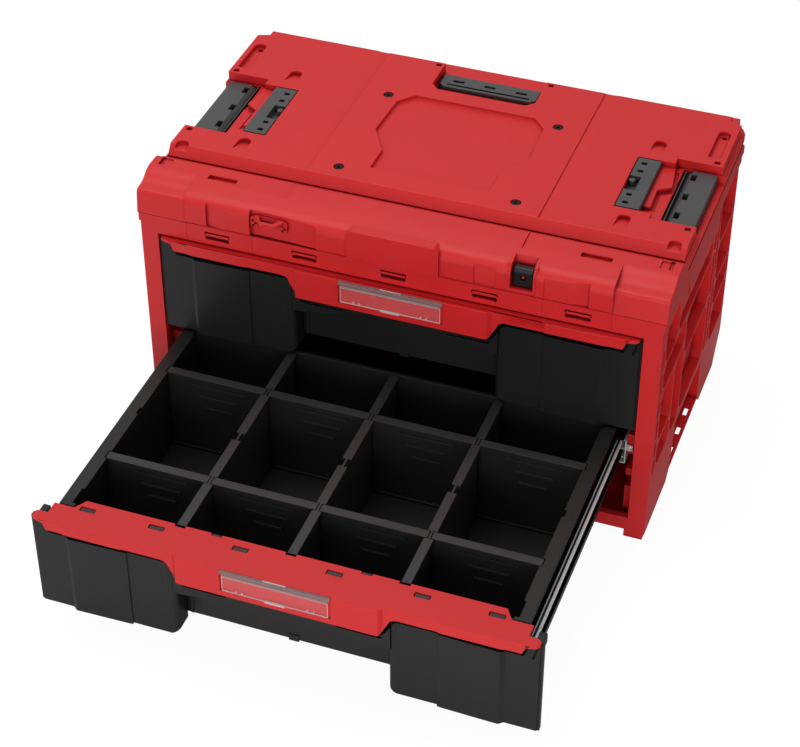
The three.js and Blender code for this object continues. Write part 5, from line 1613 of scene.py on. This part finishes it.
class CHEST_OT_trays(bpy.types.Operator):
    """Makes the two trays with their rim lips and front ribs"""

    bl_idname = "chest.trays"
    bl_label = "Trays"

    def execute(self, context):
        for level in LEVELS:
            node = level + "_tray"
            place = extent(node)
            tray = join(copy_of(node), *tray_details(place))
            finish(tray, node + "_dressed", material("tray"), body_named(node),
                   TRAY.radius, (node,))
        return {"FINISHED"}


# Slides

SLIDE = SimpleNamespace(
    sheet=1.2, lip=3.1, strip_height=3.4, fine_near=3.9, fine_far=4.8, broad_near=7.5,
    fine_round=0.4, strip_round=1.6, nest_drop=3.1, tab_reach=8, tab_height=8, tab_drop=9,
    tab_room=3, tab_inset=0.6, foot_drop=35.6, foot_reach=9.5, fold_rise=8, fold_reach=7.5,
    screw_radius=3.2, screw_proud=1.7, screw_inset=3.9, screw_sink=0.6, flat_share=0.6,
    side_share=0.5, cross_reach=2, cross_half=0.4, recess=1.1, wall_sheet=276.5, radius=0.25)
RIVET = SimpleNamespace(radius=4.2, proud=1.8, shoulder_share=0.8, shoulder_rise=0.7,
                        flat_share=0.35)
FASTENER_RADIUS = 0.15
RIVET_PLACES = ((49.3, 93), (49.3, 213), (264.3, 93), (264.3, 215))


def member_span(node):
    """The places across a slide member, from its web outward, without regard to side."""
    place = extent(node)
    inner, outer = sorted((abs(place.left), abs(place.right)))
    return place, inner, outer


def drawer_rail(node, side):
    """The bright running strips on top of a drawer member: a fine one and a broad one."""
    s = SLIDE
    place, inner, outer = member_span(node)
    high, under = place.top, place.top - s.strip_height
    strips = [(inner + s.fine_near, inner + s.fine_far, s.fine_round),
              (inner + s.broad_near, outer, s.strip_round)]
    shapes = [prism("y", [(side * a, b) for a, b in filleted([
        (near, under), (far, under), (far, high, curve), (near, high, s.fine_round)])],
        place.front, place.back) for near, far, curve in strips]
    return join(*shapes)


def painted_shade_channel(node, side):
    """The channel of a drawer member under its running strips, painted dark as the shade under the
    strips.
    """
    s = SLIDE
    place, inner, outer = member_span(node)
    low, high = place.bottom, place.top - s.strip_height
    section = [(inner, low), (outer, low), (outer, low + s.lip), (outer - s.sheet, low + s.lip),
               (outer - s.sheet, low + s.sheet), (inner + s.sheet, low + s.sheet),
               (inner + s.sheet, high - s.sheet), (outer, high - s.sheet), (outer, high),
               (inner, high)]
    return prism("y", [(side * a, b) for a, b in section], place.front, place.back)


def nested_member(node):
    """A copy of an inner slide member, pressed lower so that the running strips clear it."""
    place = extent(node)
    span = place.top - place.bottom
    low = place.bottom * MM
    member = copy_of(node)
    member.data.transform(Matrix.Translation((0, 0, low))
                          @ Matrix.Diagonal((1, 1, (span - SLIDE.nest_drop) / span, 1))
                          @ Matrix.Translation((0, 0, -low)))
    return member


def cabinet_member_solid(node, side):
    """A cabinet member: its channel with a folded foot under it, and the tab that is screwed on."""
    s, place = SLIDE, extent(node)
    outer = max(abs(place.left), abs(place.right))
    web = outer - s.tab_reach
    high, low = place.top - s.tab_drop, place.top - s.foot_drop
    room = sided(side, web, outer + 1, place.front - 1, place.front + s.tab_room,
                 place.bottom - 1, place.top + 1)
    member = cut(nested_member(node), room)
    tab = sided(side, web - s.sheet, outer - s.tab_inset, place.front, place.front + s.sheet,
                high - s.tab_height, high)
    foot = [sided(side, web - s.sheet, web, place.front, place.back, low, place.bottom + 1),
            sided(side, web - s.foot_reach, web, place.front, place.back, low, low + s.sheet),
            sided(side, web - s.fold_reach, web, place.front, place.back,
                  low + s.fold_rise, low + s.fold_rise + s.sheet)]
    return join(member, tab, *foot)


def cabinet_screw(node, side):
    """A pan-head screw through the front tab of a cabinet member."""
    s, place = SLIDE, extent(node)
    outer = max(abs(place.left), abs(place.right))
    spot = Vector((side * (outer - s.screw_inset), place.front,
                   place.top - s.tab_drop - s.tab_height / 2))
    head = turned([(s.screw_radius * s.flat_share, -s.screw_proud),
                   (s.screw_radius, -s.screw_proud * s.side_share),
                   (s.screw_radius, s.screw_sink)], "y", spot)
    top = place.front - s.screw_proud
    return cut(head, *cross_arms("y", spot.x, spot.z, s.cross_reach, s.cross_half,
                                 top - 1, top + s.recess))


def wall_rivets(side):
    """Rivet heads in the side wall's pockets, where the cabinet members are fastened."""
    r = RIVET
    heads = [turned([(r.radius, 0), (r.radius * r.shoulder_share, r.proud * r.shoulder_rise),
                     (r.radius * r.flat_share, r.proud)], "x", Vector((SLIDE.wall_sheet, y, z)))
             for y, z in RIVET_PLACES]
    first, *others = heads
    whole = join(first, *others)
    if side < 0:
        whole.data.transform(Matrix.Scale(-1, 4, (1, 0, 0)))
        whole.data.flip_normals()
    return whole


class CHEST_OT_slides(bpy.types.Operator):
    """Makes the telescopic slides with their screws and rivets"""

    bl_idname = "chest.slides"
    bl_label = "Slides"

    def execute(self, context):
        steel, oxide = material("zinc"), material("oxide")
        for level in LEVELS:
            for side, word in SIDES:
                node = f"{level}_middle_member_{word}"
                finish(nested_member(node), node + "_rolled", oxide, body_named(node),
                       SLIDE.radius, (node,))
                cabinet = f"{level}_cabinet_member_{word}"
                finish(cabinet_member_solid(cabinet, side), cabinet + "_rolled", steel,
                       body_named(cabinet), SLIDE.radius, (cabinet,))
                node = f"{level}_drawer_member_{word}"
                finish(drawer_rail(node, side), node + "_rail", steel, body_named(node),
                       SLIDE.radius, (node,))
                # Painted shade: the channel is black oxide where the strips shade it.
                finish(painted_shade_channel(node, side), node + "_channel", oxide, body_named(node),
                       SLIDE.radius)
                finish(cabinet_screw(cabinet, side), cabinet + "_screw", steel,
                       body_named(cabinet), FASTENER_RADIUS)
        for side, word in SIDES:
            finish(wall_rivets(side), "rivets_" + word, steel, "case",
                   FASTENER_RADIUS)
        return {"FINISHED"}


# Connectors and deck screws

BAR = SimpleNamespace(slot_x=262.4, slot_width=6, slot_length=12, slot_depth=8,
                      ridge=1.4, ridge_drop=1, groove=7.5, groove_depth=6, radius=0.5)
BAR_SLOT_PLACES = (140.9, 177.7, 216.3)
PLATE = SimpleNamespace(hole_x=208.3, hole=6, hole_long=5, hole_depth=9, bite=12.4,
                        bite_front=16, bite_back=11.5, bite_floor=2, boss_x=203.6, boss_y=178,
                        boss_radius=3.6, boss_drop=1.6, radius=0.6)
PLATE_HOLE_SHARES = (0.09, 0.25, 0.74, 0.9)
REAR = SimpleNamespace(slot_width=13, slot_long=4.5, slot_spacing=37.5, slot_from_front=14,
                       slot_depth=7, groove_half=49, groove_from_front=5, groove_width=3,
                       groove_depth=3.5, corner=5, radius=0.6)
DECK_SCREW = SimpleNamespace(
    tip=0.4, tip_length=2, shank=2.2, head_depth=3, rim_inset=0.3, rim_drop=0.5, flat_inset=0.5,
    cross_reach=3.1, cross_half=0.6, cross_depth=2, radius=0.2)


def outer_bar_solid(side):
    """A stacking bar with a thin inner ridge, a wide groove beside it and three slots."""
    b, place = BAR, SIDE_BAR
    left, right, low, top = place.left, place.right, place.bottom, place.top
    section = [(left, low), (right, low), (right, top), (left + b.ridge + b.groove, top),
               (left + b.ridge, top - b.groove_depth), (left + b.ridge, top - b.ridge_drop),
               (left, top - b.ridge_drop)]
    bar = prism("y", [(side * a, c) for a, c in section], place.front, place.back)
    slots = [sided(side, b.slot_x - b.slot_width / 2, b.slot_x + b.slot_width / 2,
                   y - b.slot_length / 2, y + b.slot_length / 2, top - b.slot_depth, top + 1)
             for y in BAR_SLOT_PLACES]
    return cut(bar, *slots)


def inner_plate_solid(side):
    """A flat plate with four holes and a bite that holds a round boss."""
    p, place = PLATE, SIDE_PLATE
    plate = block(side * place.left, side * place.right, place.front, place.back,
                  place.bottom, place.top)
    middle = (SIDE_BAR.front + SIDE_BAR.back) / 2
    bite = sided(side, place.left - OVERRUN, place.left + p.bite, middle - p.bite_front,
                 middle + p.bite_back, place.bottom + p.bite_floor, place.top + OVERRUN)
    length = place.back - place.front
    holes = [sided(side, p.hole_x - p.hole / 2, p.hole_x + p.hole / 2,
                   place.front + length * share - p.hole_long / 2,
                   place.front + length * share + p.hole_long / 2,
                   place.top - p.hole_depth, place.top + 1) for share in PLATE_HOLE_SHARES]
    boss = turned([(p.boss_radius, place.bottom + 1), (p.boss_radius, place.top - p.boss_drop)],
                  "z", Vector((side * p.boss_x, p.boss_y, 0)))
    return join(cut(plate, bite, *holes), boss)


def rear_bar_solid():
    """A flat bar with two cut corners, three slots and a long groove."""
    r, place = REAR, REAR_BAR
    bar = prism("z", mirrored([(place.right - r.corner, place.front),
                               (place.right, place.front + r.corner), (place.right, place.back)]),
                place.bottom, place.top)
    slot_y = place.front + r.slot_from_front
    slots = [block(i * r.slot_spacing - r.slot_width / 2, i * r.slot_spacing + r.slot_width / 2,
                   slot_y - r.slot_long / 2, slot_y + r.slot_long / 2, place.top - r.slot_depth,
                   place.top + 1) for i in (-1, 0, 1)]
    groove_y = place.front + r.groove_from_front
    groove = block(-r.groove_half, r.groove_half, groove_y - r.groove_width / 2,
                   groove_y + r.groove_width / 2, place.top - r.groove_depth, place.top + 1)
    return cut(bar, *slots, groove)


def deck_screw_solid(node):
    """A countersunk screw with a cross recess."""
    place = extent(node)
    x, y = (place.left + place.right) / 2, (place.front + place.back) / 2
    radius = (place.right - place.left) / 2
    c, low, top = DECK_SCREW, place.bottom, place.top
    body = turned([(c.tip, low), (c.shank, low + c.tip_length), (c.shank, top - c.head_depth),
                   (radius - c.rim_inset, top - c.rim_drop), (radius - c.flat_inset, top)], "z",
                  Vector((x, y, 0)))
    return cut(body, *cross_arms("z", x, y, c.cross_reach, c.cross_half, top - c.cross_depth,
                                 top + 1))


class CHEST_OT_connectors(bpy.types.Operator):
    """Makes the grey stacking connectors and the four deck screws"""

    bl_idname = "chest.connectors"
    bl_label = "Connectors and deck screws"

    def execute(self, context):
        grey = material("grey")
        for side, word in SIDES:
            finish(outer_bar_solid(side), "outer_bar_" + word, grey, "case",
                   BAR.radius, ("outer_connector_" + word,))
            finish(inner_plate_solid(side), "inner_plate_" + word, grey, "case",
                   PLATE.radius, ("inner_connector_" + word,))
        finish(rear_bar_solid(), "rear_bar", grey, "case", REAR.radius,
               ("rear_connector",))
        for i in range(1, 5):
            node = f"deck_screw_{i}"
            finish(deck_screw_solid(node), node + "_head", material("oxide"), body_named(node),
                   DECK_SCREW.radius, (node,))
        return {"FINISHED"}


# Front frame

VENT = SimpleNamespace(
    spacing=100.4, upper_low=289, upper_high=291, half=14.25, end=1.0, end_drop=2.6, depth=2.2,
    line=0.8, line_depth=0.3, line_length=21, drill=2.5, drill_depth=9, drill_x=11.4,
    drill_high=283.6, radius=0.6)
HEADER_LINES = (-236.5, -160, 163, 236.5)
PAINTED_SHADE_SHEET = SimpleNamespace(side_inset=34, front_inset=92, back_inset=12, thickness=0.8,
                              radius=0.2)


def frame_cuts():
    """The ends of the thin vents, round holes under them, and the header's fine upright lines."""
    v = VENT
    for i in (-2, -1, 0, 1, 2):
        x = v.spacing * i
        for side in (1, -1):
            edge = x + side * v.half
            yield block(min(edge, edge - side * v.end), max(edge, edge - side * v.end),
                        HOUSING.front - 1, HOUSING.front + v.depth,
                        v.upper_low - v.end_drop, v.upper_high)
            yield turned([(v.drill, -1), (v.drill, v.drill_depth)], "y",
                         Vector((x + side * v.drill_x, HOUSING.front, v.drill_high)))
    for x in HEADER_LINES:
        yield block(x - v.line / 2, x + v.line / 2, HOUSING.front - 1,
                    HOUSING.front + v.line_depth, HOUSING.top - v.line_length,
                    HOUSING.top + 1)


def painted_shade_sheet():
    """A thin black sheet on the floor inside: painted shade for the space under the drawers."""
    f, floor = PAINTED_SHADE_SHEET, extent("floor_panel")
    return block(floor.left + f.side_inset, floor.right - f.side_inset,
                 floor.front + f.front_inset, floor.back - f.back_inset,
                 floor.top, floor.top + f.thickness)


class CHEST_OT_front_frame(bpy.types.Operator):
    """Makes the red frame round the drawers with its vents and fine lines"""

    bl_idname = "chest.front_frame"
    bl_label = "Front frame"

    def execute(self, context):
        made = cut(copy_of("front_frame"), *frame_cuts())
        finish(made, "frame_round_drawers", material("red"), "case", VENT.radius,
               ("front_frame",))
        # Painted shade: a black sheet where the floor under the drawers lies in shade.
        finish(painted_shade_sheet(), "painted_shade_sheet", material("black"), "case",
               PAINTED_SHADE_SHEET.radius)
        return {"FINISHED"}


# Walls and floor


class CHEST_OT_walls(bpy.types.Operator):
    """Dresses the CAD nodes that no step has replaced: the red side walls, rear wall and floor"""

    bl_idname = "chest.walls"
    bl_label = "Walls and floor"

    def execute(self, context):
        for name in sorted(frame["nodes"]):
            if not frame["nodes"][name].hide_render:
                finish(copy_of(name), name + "_skin", material("red"), body_named(name),
                       context.scene.chest_finish.fine_radius, (name,))
        return {"FINISHED"}


# Panel and registering

OPERATORS = (CHEST_OT_stage, CHEST_OT_front_panels, CHEST_OT_trims, CHEST_OT_front_band,
             CHEST_OT_deck, CHEST_OT_label_covers, CHEST_OT_dividers, CHEST_OT_trays,
             CHEST_OT_slides, CHEST_OT_connectors, CHEST_OT_front_frame, CHEST_OT_walls)
GROUPS = (ChestFinish, ChestStage)


class CHEST_PT_panel(bpy.types.Panel):
    """Lists the steps that build the tool chest"""

    bl_label = "Tool chest"
    bl_idname = "CHEST_PT_panel"
    bl_space_type = "VIEW_3D"
    bl_region_type = "UI"
    bl_category = "Tool chest"

    def draw(self, context):
        for operator in OPERATORS:
            self.layout.operator(operator.bl_idname)


def register():
    for group in GROUPS:
        bpy.utils.register_class(group)
    bpy.types.Scene.chest_finish = bpy.props.PointerProperty(type=ChestFinish)
    bpy.types.Scene.chest_stage = bpy.props.PointerProperty(type=ChestStage)
    for operator in OPERATORS:
        bpy.utils.register_class(operator)
    bpy.utils.register_class(CHEST_PT_panel)


def unregister():
    bpy.utils.unregister_class(CHEST_PT_panel)
    for operator in reversed(OPERATORS):
        bpy.utils.unregister_class(operator)
    del bpy.types.Scene.chest_stage
    del bpy.types.Scene.chest_finish
    for group in reversed(GROUPS):
        bpy.utils.unregister_class(group)


def main():
    register()
    make_materials(bpy.context.scene.chest_finish)
    for operator in OPERATORS:
        group, name = operator.bl_idname.split(".")
        getattr(getattr(bpy.ops, group), name)()


if __name__ == "__main__":
    main()
